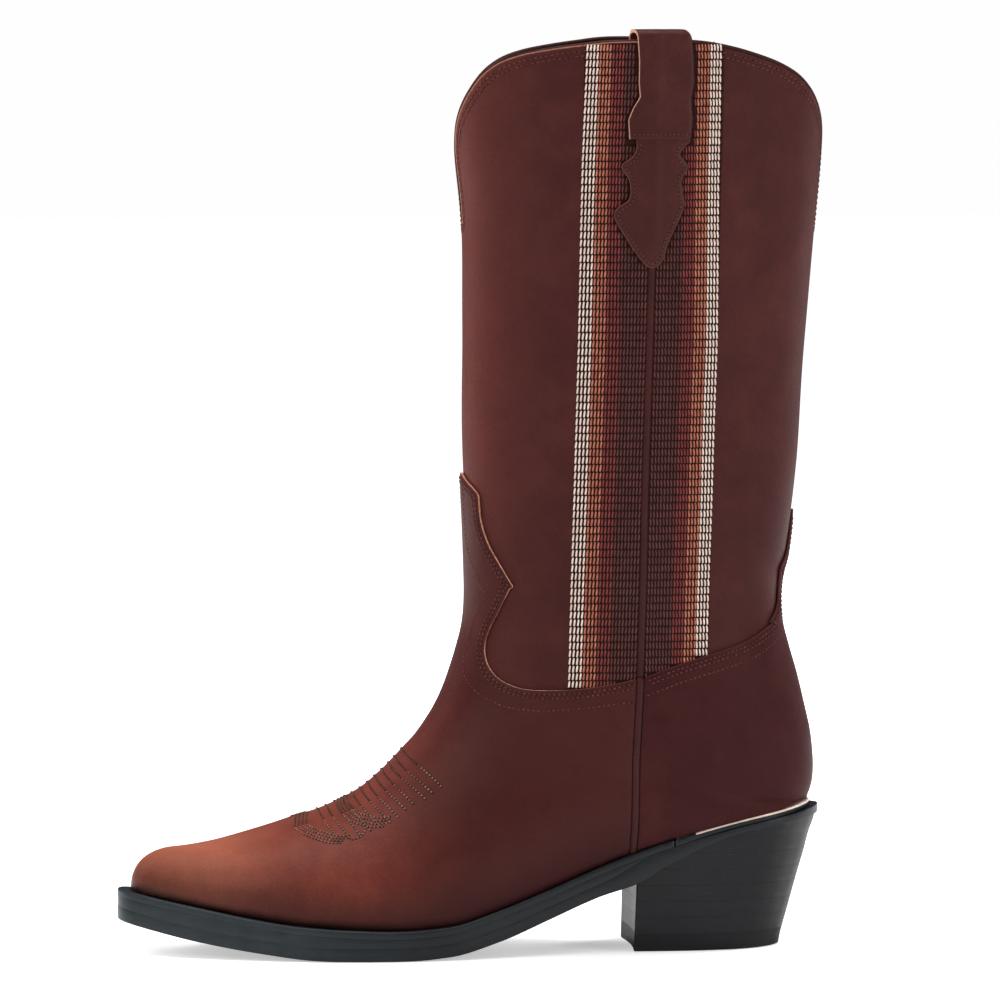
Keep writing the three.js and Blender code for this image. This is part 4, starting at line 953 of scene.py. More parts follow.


# the second foot colour is painted shade low on the foot
TOE_LIGHT, FOOT_LOW_SHADE, FOOT_BACK = (186, 108, 82), (54, 23, 23), (56, 24, 26)
# painted contact shadow along the sole
FOOT_CONTACT_SHADOW = (30, 14, 14)
# the first shaft colour is painted rim light along the front
SHAFT_FRONT_RIM_LIGHT, SHAFT_LOW = (112, 56, 48), (58, 27, 28)
# painted shade in the stitched bands and along their rows of holes
BAND_SHADE_TINT, BAND_ROW_SHADE_TINT = (0.34, 0.28, 0.28, 1), (0.3, 0.25, 0.25, 1)


def foot_gradient(m, colour):
    """Burnish light at the toe; painted shade and a painted contact shadow near the sole; darker at
    the back (metres).
    """
    x, z = m.axis(0), m.axis(2)
    toe = m.span(x, zero=-0.070, one=-0.122)
    wobble = m.math("SUBTRACT", m.noise(scale=30, detail=4, rough=0.6), 0.5)
    colour = m.stain(m.add(toe, m.mul(wobble, 0.12), True), colour, 0.75, TOE_LIGHT)
    # the height of the sole's top as a curve: x over 0.3 m, z over 0.06 m
    node = m.new("FloatCurve")
    curve = node.mapping.curves[0]
    for place in range(-140, 150, 10):
        curve.points.new((place + 150) / 300, float(sole_top(place)) / 60)
    curve.points[0].location = (0, float(sole_top(-150)) / 60)
    curve.points[len(curve.points) - 1].location = (1, float(sole_top(146)) / 60)
    node.mapping.update()
    m.feed(node.inputs["Value"], m.math("DIVIDE", m.add(x, 0.150), 0.300))
    height = m.math("SUBTRACT", z, m.mul(node.outputs[0], 0.060))
    # painted shade: darker over the last few centimetres above the sole
    low = m.span(m.add(height, m.mul(wobble, 0.016)), zero=0.026, one=0.002)
    colour = m.stain(low, colour, 0.78, FOOT_LOW_SHADE)
    # painted contact shadow: near black just above the sole
    contact_shadow = m.span(m.add(height, m.mul(wobble, 0.005)), zero=0.0046, one=0.0010)
    colour = m.mix(m.mul(contact_shadow, 0.8), colour, srgb(FOOT_CONTACT_SHADOW))
    back = m.span(m.add(x, m.mul(wobble, 0.030)), zero=-0.062, one=0.004)
    return m.stain(back, colour, 0.86, FOOT_BACK)


def shaft_gradient(m, colour):
    """Lighter along the front as painted rim light, darker low down, and painted shade in the
    stitched bands.
    """
    x, z = m.axis(0), m.axis(2)
    # painted rim light: lighter towards the front of the shaft
    front = m.span(x, zero=0.035, one=-0.008)
    colour = m.mix(m.mul(front, 0.45), colour, srgb(SHAFT_FRONT_RIM_LIGHT))
    low = m.span(z, zero=0.24, one=0.12)
    colour = m.mix(m.mul(low, 0.35), colour, srgb(SHAFT_LOW))
    # the UV map holds the distance from the seam and the height, in decimetres
    flat = m.new("SeparateXYZ", {0: m.new("UVMap", uv_map="flat").outputs[0]})
    across, height = flat.outputs[0], flat.outputs[1]
    band = m.mul(m.span(across, zero=-0.2960, one=-0.2900),
                 m.span(across, zero=0.2850, one=0.2780))
    # lines repeat at the stitch pitch, down from the first stitch: painted shade along the rows of
    # needle holes
    phase = m.math("FRACT", m.math("DIVIDE", m.math("SUBTRACT", 3.716, height), 0.0317))
    off_middle = m.math("ABSOLUTE", m.math("SUBTRACT", phase, 0.5))
    line = m.math("SUBTRACT", 1.0, m.span(off_middle, zero=0.10, one=0.20))
    # painted shade over the band between the stitches
    colour = m.times(m.mul(band, 0.80), colour, BAND_SHADE_TINT)
    return m.times(m.mul(m.mul(band, line), 0.75), colour, BAND_ROW_SHADE_TINT)


def vamp_edge():
    """The vamp's cut edge: bare on the low curve, dark far back, and dark at the waist as painted
    shade where the edge faces down.
    """
    m = Mat("leather_raw_edge_vamp")
    grain = m.noise(scale=900, detail=4, rough=0.6)
    bare = m.ramp(grain, [(0.32, srgb((170, 106, 80))), (0.68, srgb((226, 168, 138)))])
    dark = m.ramp(grain, [(0.32, srgb((92, 48, 42))), (0.68, srgb((128, 76, 66)))])
    x, z = m.axis(0), m.axis(2)
    worn = m.mul(m.math("SUBTRACT", m.noise(scale=140, detail=2, rough=0.5), 0.5), 0.5)
    side = m.span(x, zero=0.026, one=0.040)
    waist_shade = m.mul(m.span(z, zero=0.122, one=0.130), m.span(z, zero=0.150, one=0.144))
    # dark far back, and painted shade at the waist, by the order of the two colours
    share = m.add(m.math("MAXIMUM", side, m.mul(waist_shade, 0.85)), worn, True)
    m.set(Base_Color=m.mix(share, bare, dark), Roughness=0.8, Specular_IOR_Level=0.2)
    m.bumps((grain, 0.00015, 0.4))
    return m.mat


def sole_black(name, dark, light, streak, rough, spec, brown=None, waist_shade=False):
    """Black-burnished leather: pressed layers, a wax shine and small scuffs."""
    m = Mat(name)
    layers = m.noise(scale=1.0, detail=5, rough=0.6, vector=m.scaled(streak))
    blots = m.noise(scale=70, detail=4, rough=0.6)
    scuffs = m.noise(scale=520, detail=4, rough=0.7)
    colour = m.ramp(m.weigh(layers, 0.5, blots), [(0.3, srgb(dark)), (0.7, srgb(light))])
    if brown:
        worn = m.ramp(blots, [(0.56, grey(0)), (0.78, grey(0.5))])
        colour = m.mix(worn, colour, srgb(brown))
    scuffed = m.ramp(scuffs, [(0.60, grey(0)), (0.74, grey(0.28))])
    colour = m.mix(scuffed, colour, srgb((66, 64, 66)))
    if waist_shade:
        # painted shade: blacker from the ball of the foot back, in the hollow waist
        back = m.span(m.axis(0), zero=-0.075, one=-0.010)
        colour = m.times(back, colour, (0.34, 0.34, 0.37, 1))
    m.roughness(m.weigh(blots, 0.5, layers), rough)
    m.set(Base_Color=colour, Specular_IOR_Level=spec)
    m.bumps((blots, 0.0006, 0.12), (layers, 0.00010, 0.55), (scuffs, 0.00004, 0.35))
    return m.mat


def cork():
    m = Mat("cork_granules")
    cells = m.voronoi(scale=420, feature="F1")
    tint = m.ramp(m.noise(scale=420, detail=2, rough=0.5),
                  [(0.35, srgb((112, 78, 44))), (0.65, srgb((160, 120, 74)))])
    shade = m.ramp(cells, [(0.2, grey(1)), (0.6, (0.45, 0.4, 0.36, 1))])
    m.set(Base_Color=m.mix(0.7, tint, shade, "MULTIPLY"), Roughness=0.92)
    m.bumps((cells, 0.0005, 0.8))
    return m.mat


MATS = {
    "vamp": leather("leather_vamp", (100, 45, 37), (118, 56, 46), (135, 69, 55),
                    foot_gradient, rough=(0.34, 0.50), spec=0.17),
    "counter": leather("leather_counter", (55, 22, 25), (64, 27, 29), (74, 34, 34),
                       rough=(0.38, 0.54), spec=0.12),
    "shaft": leather("leather_shaft", (62, 28, 29), (73, 34, 34), (86, 42, 40),
                     shaft_gradient, rough=(0.40, 0.56), spec=0.14),
    "strap": leather("leather_strap", (60, 28, 29), (70, 33, 34), (82, 41, 39),
                     rough=(0.34, 0.48), spec=0.22),
    "piping": leather("leather_piping", (52, 24, 26), (61, 29, 30), (72, 35, 34),
                      rough=(0.36, 0.5), grain=0.6),
    "bead": leather("leather_bead", (44, 22, 22), (56, 27, 27), (70, 34, 32),
                    rough=(0.4, 0.55), grain=0.6),
    "raw": raw_edge("leather_raw_edge", (168, 112, 90), (218, 172, 148)),
    "raw_counter": raw_edge("leather_raw_edge_counter", (74, 38, 35), (108, 62, 54)),
    "raw_vamp": vamp_edge(),
    "raw_mid": raw_edge("leather_raw_edge_mid", (138, 86, 70), (190, 134, 110)),
    "raw_dark": raw_edge("leather_raw_edge_dark", (112, 66, 54), (160, 106, 86)),
    "flesh": plain("leather_flesh", (120, 78, 58), (156, 108, 82), scale=500,
                   rough=(0.8, 0.95), bump=0.00012, spec=0.2),
    "lining": leather("leather_lining", (112, 72, 52), (128, 86, 63), (144, 102, 76),
                      rough=(0.5, 0.68), grain=0.7),
    "sock": leather("leather_sock", (168, 120, 80), (184, 136, 94), (198, 150, 108),
                    rough=(0.5, 0.68), grain=0.8),
    "welt": sole_black("welt_black", (22, 29, 32), (42, 51, 56), streak=(90, 90, 700),
                       rough=(0.30, 0.5), spec=0.36, waist_shade=True),
    "edge": sole_black("sole_edge_black", (22, 29, 32), (42, 51, 56), streak=(60, 60, 500),
                       rough=(0.26, 0.5), spec=0.36, waist_shade=True),
    "under": sole_black("sole_underside", (30, 28, 28), (52, 48, 46), streak=(80, 120, 80),
                        rough=(0.34, 0.55), spec=0.45, brown=(70, 52, 42)),
    "lift": sole_black("heel_stack_black", (13, 13, 16), (25, 25, 30), streak=(40, 40, 300),
                       rough=(0.30, 0.48), spec=0.28),
    "rubber": sole_black("heel_rubber_black", (12, 12, 15), (24, 24, 28),
                         streak=(120, 120, 300), rough=(0.42, 0.6), spec=0.25),
    "rand": plain("rand_pale", (206, 178, 160), (244, 226, 212), scale=260, rough=(0.4, 0.6),
                  bump=0.00008, spec=0.4, stretch=(1, 1, 4)),
    "board": plain("insole_board_tan", (150, 116, 78), (184, 150, 108), scale=420,
                   rough=(0.75, 0.92), bump=0.00012, spec=0.25),
    "stiff": plain("stiffener_board_grey", (128, 110, 82), (160, 142, 112), scale=520,
                   rough=(0.8, 0.95), bump=0.00015, spec=0.2),
    "peg": plain("peg_wood_pale", (176, 134, 84), (214, 178, 126), scale=700,
                 rough=(0.55, 0.75), bump=0.00008, spec=0.3, stretch=(1, 1, 0.15)),
    "steel": plain("steel_brushed", (130, 132, 136), (168, 170, 174), scale=900,
                   rough=(0.24, 0.42), bump=0.00003, spec=0.5, metal=1.0, stretch=(0.15, 1, 1)),
    "brass": plain("brass_worn", (150, 112, 56), (196, 156, 86), scale=800,
                   rough=(0.24, 0.42), bump=0.00004, spec=0.5, metal=1.0),
    "cream": thread("thread_cream", (226, 196, 180), (250, 234, 222)),
    "orange": thread("thread_orange", (160, 82, 68), (204, 130, 100)),
    "red": thread("thread_red", (108, 44, 44), (140, 62, 56)),
    "dark": thread("thread_dark", (76, 40, 40), (102, 58, 54)),
    # near black: painted shade in the needle holes
    "hole": thread("needle_hole_painted_shade", (18, 8, 8), (30, 14, 13), rough=0.8),
    "brown": thread("thread_brown", (80, 40, 39), (122, 68, 62), rough=0.7, spec=0.08),
    # tan: the instep thread lighter as painted sheen on the sides
    "tan": thread("thread_tan_painted_sheen", (92, 60, 50), (172, 128, 112), rough=0.5),
    "olive": thread("thread_olive", (58, 42, 32), (104, 78, 60), rough=0.5),
    "cork": cork(),
}


def mats(*keys):
    return [MATS[key] for key in keys]


# ------------------------------------------------------------ vamp and counter
SEAM_FOOT = float(seam_x(43))   # x of the seam where it meets the sole
SOLE_CLEAR = 0.45               # height of the upper's bottom edge over the sole's top
SEAM_SPLIT = float(seam_x(SEAM_BOTTOM))


def bottom_edge(side, front, x_start):
    """Bottom edge of the upper from the side seam to the toe or to the back of the heel."""
    z_start = float(sole_top(x_start)) + SOLE_CLEAR
    start = locate([x_start], [z_start], side)[0]
    end, count = (LAST - 0.02, 260) if front else (16.3, 120)
    ease = np.clip(np.arange(count) / 6, 0, 1)
    around = abs(start[1]) * (1 - ease) + ease
    if not front:
        # a hair short of the line where the two sides meet
        around = np.where(around >= 0.9999, 0.9995, around)
    return np.stack([np.linspace(start[0], end, count), side * around], 1)


def vamp_top_edge(side):
    low = side_line(spline(VAMP_SIDE, 150), side)
    low = low[surface(*low.T)[:, 0] < SEAM_SPLIT - SEAM_HALF]
    view = spline(VAMP_FRONT, 90)
    tongue = from_end_view(np.stack([side * view[:, 0], view[:, 1]], 1),
                           level(np.minimum(view[:, 1], 200)),
                           side * around_for(view[:, 0], 38.5))
    tongue[:, 1] = np.where(np.sign(tongue[:, 1]) == side, tongue[:, 1], 0.0)
    tongue[-1, 1] = 0
    return np.vstack([low, tongue[1:]])


def counter_top_edge(side):
    low = side_line(spline(COUNTER_SIDE, 90), side)
    low = low[surface(*low.T)[:, 0] > SEAM_SPLIT + SEAM_HALF]
    view = spline(COUNTER_BACK, 90)
    peak = from_end_view(np.stack([side * view[:, 0], view[:, 1]], 1),
                         9.0 - (view[:, 1] - 135) / 16.0,
                         side * (1 - around_for(view[:, 0], 37.5)))
    peak[:, 1] = side * np.clip(np.abs(peak[:, 1]), 0.5, 1.0)
    return np.vstack([low, np.linspace(low[-1], peak[0], 6)[1:-1], peak[:-1]])


def foot_outline(top_edge, front, z_top):
    offset = -SEAM_HALF if front else SEAM_HALF
    z_low = float(sole_top(SEAM_FOOT)) + SOLE_CLEAR

    def half(side):
        return np.vstack([top_edge[side][::-1], seam_line(side, offset, z_top, z_low, 60),
                          bottom_edge(side, front, SEAM_FOOT + offset)])
    return tidy(both_sides(half), EDGE_GAP, back=not front)


def foot_puff(points, distance):
    """The leather thins towards its cut edge."""
    above = points[:, 2] > sole_top(points[:, 0]) + 6
    return -0.25 * np.exp(-distance / 1.6) * above


def cut_edge(points):
    """The cut edge shows, save at the sole and in the side seam."""
    x, z = points[:, 0], points[:, 2]
    in_seam = (np.abs(x - seam_x(z)) < SEAM_HALF + 1.4) & (z < 113.4)
    return (z > sole_top(x) + 5) & ~in_seam


def heel_relax(points):
    """Full weight low down at the back of the heel."""
    x, z = points[:, 0], points[:, 2]
    return np.clip((x - 78) / 14, 0, 1) * np.clip((sole_top(x) + 30 - z) / 10, 0, 1)


vamp_top = {side: vamp_top_edge(side) for _, side in SIDES}
vamp_outline = foot_outline(vamp_top, True, 114.0)
FOOT = dict(floor=0.05, puff=foot_puff, bare=cut_edge, round_out=0.24)
panel("vamp_leather", vamp_outline, 0.3, 1.6, mats("vamp", "raw_vamp", "flesh"),
      "foot_leather", "vamp", **FOOT)

counter_top = {side: counter_top_edge(side) for _, side in SIDES}
panel("counter_leather", foot_outline(counter_top, False, 113.6), 0.3, 1.6,
      mats("counter", "raw_counter", "flesh"), "foot_leather", "counter_foxing", back=True,
      relax=heel_relax, **FOOT)


# ----------------------------------------------------------------------- shaft
# x, z of the hidden lower edges of the two shaft leathers, from front to back
FRONT_LOW = [[-10, 184], [2, 178], [4, 166], [6, 150], [-2, 136], [-6, 120], [2, 106],
             [20, 100], [64, 102]]
BACK_LOW = [[70, 102], [84, 107], [101, 112], [116, 117.5], [128, 124], [136, 128]]


def dip_line(rows, side, front):
    view = spline(rows, 170)
    along = level(view[:, 1])
    around = around_for(view[:, 0], section(along)[:, 4], 0.9999)
    return np.stack([along, side * (around if front else 1 - around)], 1)


def twist_dip(dips):
    """Turns the shaft a little: on the lateral side the front dip follows a twisted x."""
    def twisted(points):
        return points[:, 0] * math.cos(SHAFT_TWIST) - points[:, 1] * math.sin(SHAFT_TWIST)

    goal = twisted(surface(*dips[1].T)) + 0.55
    along, around = dips[-1][:, 0], np.abs(dips[-1][:, 1])
    around = bisect(around * 0.35, around.copy(),
                    lambda middle: ~(twisted(surface(along, -middle)) > goal), 40)
    for _ in range(12):
        around[1:-1] = (around[:-2] + 2 * around[1:-1] + around[2:]) / 4
    dips[-1] = np.stack([along, -around], 1)


dip_front = {side: dip_line(DIP_FRONT, side, True) for _, side in SIDES}
dip_back = {side: dip_line(DIP_BACK, side, False) for _, side in SIDES}
twist_dip(dip_front)


def side_uv(spots):
    """Distance from the side seam and height, in decimetres."""
    points = surface(*spots.T)
    x, z = points[:, 0], points[:, 2]
    return np.stack([(x - seam_x(z, spots[:, 1])) / 100, z / 100], 1)


def shaft_panel(name, front, inner, outer, z_low, mats, slot, node, offset, low=None, **extra):
    """Front or back half of the shaft, cut off below along low, or level at z_low."""
    away = -1 if front else 1
    middle = 0.0 if front else 1.0

    def half(side):
        dip = (dip_front if front else dip_back)[side]
        points = surface(*dip.T)
        limit = seam_x(points[:, 2], side) + away * offset
        dip = dip[away * (points[:, 0] - limit) > 0.4]
        seam = seam_line(side, away * offset, TOPLINE_Z, z_low, 200)
        if low is None:
            bottom = level_cut(z_low, side, np.linspace(abs(seam[-1, 1]), middle, 80)[1:])
        else:
            points = spline(low, 60)
            line = side_line(points[::-1] if front else points, side)
            end = np.array([line[-1, 0], side * middle])
            bottom = np.vstack([line, np.linspace(line[-1], end, 14)[1:]])
        return np.vstack([dip, seam, bottom])

    outline = tidy(drop_repeats(both_sides(half), not front), EDGE_GAP, back=not front)
    panel(name, outline, inner, outer, mats, slot, node, back=not front, **extra)


for end, is_front, edge_mat, low in (("front", True, "raw_dark", FRONT_LOW),
                                     ("back", False, "strap", BACK_LOW)):
    shaft_panel(f"shaft_{end}_leather", is_front, -1.6, 0.0, 104,
                mats("shaft", edge_mat, "flesh"), "shaft_leather", "shaft_" + end,
                SEAM_HALF - 0.35, low, uv_map=side_uv)
for end, is_front in (("front", True), ("back", False)):
    shaft_panel("lining_" + end, is_front, -2.9, -1.9, 96, mats("lining"), "lining_leather",
                "shaft_lining_" + end, 0.12, round_out=0.2, step=STEP * 1.25)


# ---------------------------------------------------------------- side piping
def piping_profile(depth, wing, low, half=1.5):
    """Round cord on a flat flange that lies between the panels."""
    angles = np.linspace(math.radians(-28), math.radians(208), 18)
    arc = np.stack([half * np.cos(angles), depth * np.sin(angles)], 1)
    return np.vstack([[[wing, low - 0.16], [wing, low]], arc, [[-wing, low], [-wing, low - 0.16]]])


for side_name, side in SIDES:
    for part, z_from, z_to, count, height, profile in (
            ("side", 114.0, 371.6, 230, -0.4, piping_profile(depth=1.25, wing=3.0, low=-1.28)),
            ("foot", float(sole_top(SEAM_FOOT)) + 0.3, 114.6, 80, 0.9,
             piping_profile(depth=1.2, wing=2.6, low=-0.75))):
        line = seam_line(side, 0.0, z_from, z_to, count)
        cord(f"piping_{part}_{side_name}", at(line, height), normal(*line.T), profile,
             mats("piping"), "piping_leather", f"{part}_piping_{side_name}")


# ------------------------------------------------------- shield tabs and straps
def tab_outline(side, count):
    view = spline(TAB, count)
    return np.stack([view[:, 0] + seam_shift(view[:, 1], side), view[:, 1]], 1)


tab_lines = {}
for side_name, side in SIDES:
    tab_lines[side] = side_line(tab_outline(side, 260), side)

    def tab_puff(points, distance, side=side):
        return 0.55 * over_seam(points[:, 0], points[:, 2], side) - 0.22 * np.exp(-distance)

    panel("tab_" + side_name, tidy(tab_lines[side], 0.7), 0.62, 1.95,
          mats("strap", "raw_dark", "flesh"), "strap_leather", "strap_tab_" + side_name,
          step=TAB_STEP, puff=tab_puff)

STRAP_POINTS = 23       # points across one face of the strap
STRAP_HOLD_Z = 372.0    # above this the strap stands free of the shaft


def strap_stations(side):
    """Level off the upper, z, and the outward direction (sideways, up), over the strap's loop."""
    middle, radius = (STRAP_OUTER + STRAP_INNER) / 2, (STRAP_OUTER - STRAP_INNER) / 2
    crest = STRAP_CREST - (1.0 if side < 0 else 2.2) - STRAP_HALF_THICK - radius
    stations = [[STRAP_OUTER, z, 1, 0] for z in np.linspace(334.6, crest, 46)]
    stations += [[middle + radius * math.cos(a), crest + radius * math.sin(a),
                  math.cos(a), math.sin(a)] for a in np.linspace(0, math.pi, 22)[1:-1]]
    return stations + [[STRAP_INNER, z, -1, 0] for z in np.linspace(crest, 336, 40)]


def strap_ring(side, height, z, out, up):
    """Closed section of the strap: outer face, back edge, inner face, front edge."""
    held = min(z, STRAP_HOLD_Z)
    skew = float(seam_shift(held, side)) - (STRAP_SKEW * (1 - out) / 2 if side < 0 else 0)
    x_front = float(lookup(STRAP, z, 1)) + skew + 0.4
    x_back = float(lookup(STRAP, z, 2)) + skew - 1.1
    xs = x_front + np.linspace(0.0, 1.0, STRAP_POINTS) * (x_back - x_front)
    spots = locate(xs, np.full(len(xs), held), side)
    points, normals = surface(*spots.T), normal(*spots.T)
    points = points + normals * sway(points)[:, None]
    lift = 0.45 * over_seam(xs, held, side) * max(out, 0)
    thin = 0.18 * (np.exp(-(xs - x_front) / 0.8) + np.exp(-(x_back - xs) / 0.8))

    def face(offset):
        moved = points + normals * (height + offset * out)[:, None]
        moved[:, 2] = z + offset * up
        moved[:, 1] += side * (z - held) * 0.03
        return moved

    top = face(STRAP_HALF_THICK + lift - thin)
    bottom = face(-STRAP_HALF_THICK + lift * 0.8 + thin * 0.6)
    # the cut edges bulge a little
    outwards = unit(top[-1:] - top[-2:-1])[0]
    back, front = (top[-1] + bottom[-1]) / 2, (top[0] + bottom[0]) / 2
    return np.vstack([
        top, back + outwards * 0.35 + (top[-1] - back) * 0.6, back + outwards * 0.42,
        back + outwards * 0.35 + (bottom[-1] - back) * 0.6,
        bottom[::-1], front - outwards * 0.35 + (bottom[0] - front) * 0.6,
        front - outwards * 0.42, front - outwards * 0.35 + (top[0] - front) * 0.6])


def strap(side_name, side):
    rings = [strap_ring(side, *station) for station in strap_stations(side)]
    count, size = len(rings), len(rings[0])
    points = np.vstack(rings + [rings[0].mean(0), rings[-1].mean(0)])
    quads = tube_quads(count, size)
    # the front edge is bare; the back edge keeps the face colour as painted shade
    edge = np.arange(len(quads)) % size >= 2 * STRAP_POINTS + 2
    parts = [(quads[~edge], 0), (quads[edge], 1)] + [(fan, 1) for fan in end_fans(count, size)]
    one, two, three = points[quads[5][:3]]
    if np.cross(two - one, three - one)[1] * side < 0:
        parts = [(faces[:, ::-1], index) for faces, index in parts]
    build("strap_" + side_name, points, parts, mats("strap", "raw"), "strap_leather",
          "pull_strap_" + side_name)


for side_name, side in SIDES:
    strap(side_name, side)


# ------------------------------------------------------------ top line bead
def topline(side):
    """The top edge on one side, from the front dip to the back dip."""
    front, back = (dip[side][np.abs(surface(*dip[side].T)[:, 1]) < 43.2]
                   for dip in (dip_front, dip_back))
    start, end = abs(front[-1, 1]), abs(back[-1, 1])
    around = np.linspace(start, end, 60)[1:-1]
    drop_front = TOPLINE_Z - surface(*front[-1])[2]
    drop_back = TOPLINE_Z - surface(*back[-1])[2]
    z = TOPLINE_Z - drop_front * np.clip(1 - (around - start) / 0.06, 0, 1) ** 2 \
        - drop_back * np.clip(1 - (end - around) / 0.06, 0, 1) ** 2
    return np.vstack([front, np.stack([level(z), side * around], 1), back[::-1]])


def topline_bead():
    loop = np.vstack([topline(-1), topline(1)[::-1][1:-1]])
    points, normals = at(loop, -1.45), normal(*loop.T)
    points = np.vstack([points, points[:1]])
    normals = np.vstack([normals, normals[:1]])
    reach = arc_length(points)
    places = np.linspace(0, reach[-1], 700, endpoint=False)
    normals = unit(sample(places, reach, normals))
    points = smooth_loop(sample(places, reach, points), 3)
    up = unit(np.cross(tangents(points), normals))
    flip = float(np.sign(np.median(up[:, 2])))
    centres = points + up * flip * 0.85
    angles = np.linspace(0, 2 * math.pi, 20, endpoint=False)
    middles = (angles + math.pi / 20) % (2 * math.pi)
    # in front of the seams one lengthwise strip of the bead is pale
    light = (np.sin(middles) > 0.12) & (np.cos(middles) * flip < -0.02)
    cord("bead_topline", centres, normals,
         np.stack([0.84 * np.cos(angles), 1.5 * np.sin(angles)], 1), mats("bead", "raw_mid"),
         "bead_leather", "topline_bead", closed=True,
         second=np.outer(centres[:, 0] < 67, light).ravel())


topline_bead()

# ------------------------------------------------------------------ stitching
rng = np.random.default_rng(7)
HOLES = Holes("needle_holes", MATS["hole"], "thread_dark")
threads = {key: Thread("stitches_" + key, MATS[key],
                       "thread_" + ("dark" if key in ("brown", "tan", "olive") else key))
           for key in ("cream", "orange", "red", "dark", "brown", "tan", "olive")}

# Upright bands on the shaft: thread, rows of z with x of the first and the last line, lines
BANDS = [
    ("cream", [[372, 44.3, 48.46], [326.1, 42.68, 47.08], [252.8, 41.38, 45.9],
               [110.2, 37.78, 42.3]], 4),
    ("orange", [[372, 49.7, 53.6], [326.15, 48.3, 52.3], [252.86, 47.2, 51.5],
                [110.2, 43.6, 47.9]], 4),
    ("red", [[372, 54.9, 58.8], [326.15, 53.6, 57.5], [252.87, 52.8, 57.0],
             [110.2, 49.2, 53.4]], 4),
    ("dark", [[372, 60.1, 69.9], [326.15, 58.8, 69.1], [252.87, 58.3, 67.9],
              [110.2, 54.7, 64.4]], 8),
    ("dark", [[372, 74.9, 84.0], [326.15, 73.9, 83.4], [252.8, 72.5, 82.2],
              [110.2, 69.1, 78.4]], 8),
    ("red", [[372, 85.2, 88.7], [326.15, 84.6, 88.1], [252.71, 83.5, 87.3],
             [110.2, 79.7, 83.5]], 4),
    ("orange", [[371.92, 89.9, 93.9], [326.03, 89.2, 93.1], [252.64, 88.6, 92.6],
                [110.2, 84.8, 88.9]], 4),
    ("cream", [[371.9, 95.1, 98.9], [326.0, 94.3, 98.15], [252.56, 93.8, 97.9],
               [123.3, 90.2, 94.4]], 4),
]
BAND_PITCH, BAND_HALF_STITCH, BAND_TOP, BAND_COUNT = 3.17, 1.41, 371.6, 86

# the upper edge of vamp and counter in side view, by x
side_edge = np.vstack([spline(VAMP_SIDE, 200)[:170][::-1], spline(COUNTER_SIDE, 120)])
side_edge = side_edge[np.argsort(side_edge[:, 0])]


def band_line(key, rows, share, side, tab):
    """One upright line of stitches, left out under the foot leather, tab, strap and seam."""
    z = BAND_TOP - BAND_PITCH * np.arange(0, BAND_COUNT)
    z = z + rng.normal(0, 0.05, len(z))
    z_top, z_low = z + BAND_HALF_STITCH, z - BAND_HALF_STITCH
    lean = 0.16 * (1 if rows[0][1] < 70 else -1)

    def line_x(height):
        return lookup(rows[::-1], height, 1) * (1 - share) + lookup(rows[::-1], height, 2) * share

    x_top, x_low = line_x(z_top) + lean, line_x(z_low) - lean
    x = (x_top + x_low) / 2
    open_ = z_low > np.interp(x, side_edge[:, 0], side_edge[:, 1]) - 1.6
    x_top, x_low = x_top + seam_shift(z_top, side), x_low + seam_shift(z_low, side)
    x = x + seam_shift(z, side)
    middles = np.stack([x, z], 1)
    open_ &= ~inside(middles, tab) & (edge_distance(middles, tab) > 0.5)
    strap_front = lookup(STRAP, z, 1) + seam_shift(z, side)
    strap_back = lookup(STRAP, z, 2) + seam_shift(z, side)
    open_ &= ~((z > 333.5) & (x > strap_front - 0.9) & (x < strap_back + 0.9))
    open_ &= np.abs(x - seam_x(z, side)) > 1.9
    if not open_.any():
        return
    starts = at(locate(x_top[open_], z_top[open_], side), 0.05)
    ends = at(locate(x_low[open_], z_low[open_], side), 0.05)
    normals = normal(*locate(x[open_], z[open_], side).T)
    threads[key].add(starts, ends, normals, radius=0.38 if key == "dark" else 0.40, rise=0.45)
    spots = locate(x_low[open_], z_low[open_] - (BAND_PITCH / 2 - BAND_HALF_STITCH), side)
    HOLES.add(at(spots, 0.0), ends - starts, normal(*spots.T), along=0.34, across=0.52)


for _, side in SIDES:
    tab = tab_outline(side, 120)
    for key, rows, count in BANDS:
        for j in range(count):
            band_line(key, rows, j / (count - 1), side, tab)

# Rows along the edges of vamp and counter
FOOT_DEPTH = 1.55
FOOT_STITCH = dict(pitch=2.05, length=1.2)
TURN_SCALE = 12     # weight of around against along while a line is splined
# along, around of the vamp's third row, from the tongue to the side
VAMP_THIRD_ROW = [
    (5.2, .028), (5.9, .034), (6.4, .040), (6.87, .048), (7.23, .077), (7.56, .112),
    (7.83, .131), (7.95, .149), (8.13, .139), (8.4, .118), (8.88, .098), (9.55, .092),
    (10.18, .09), (10.83, .107), (11.17, .125), (11.49, .158), (11.76, .183), (12.23, .253),
    (12.34, .302), (12.32, .346), (12.1, .414), (11.93, .458), (11.79, .495), (11.67, .528),
    (11.56, .560), (11.46, .590)]


def spot_spline(rows, count):
    """Spline through (along, around) with around unsigned."""
    curve = spline([(along, around * TURN_SCALE) for along, around in rows], count)
    return curve[:, 0], np.abs(curve[:, 1] / TURN_SCALE)


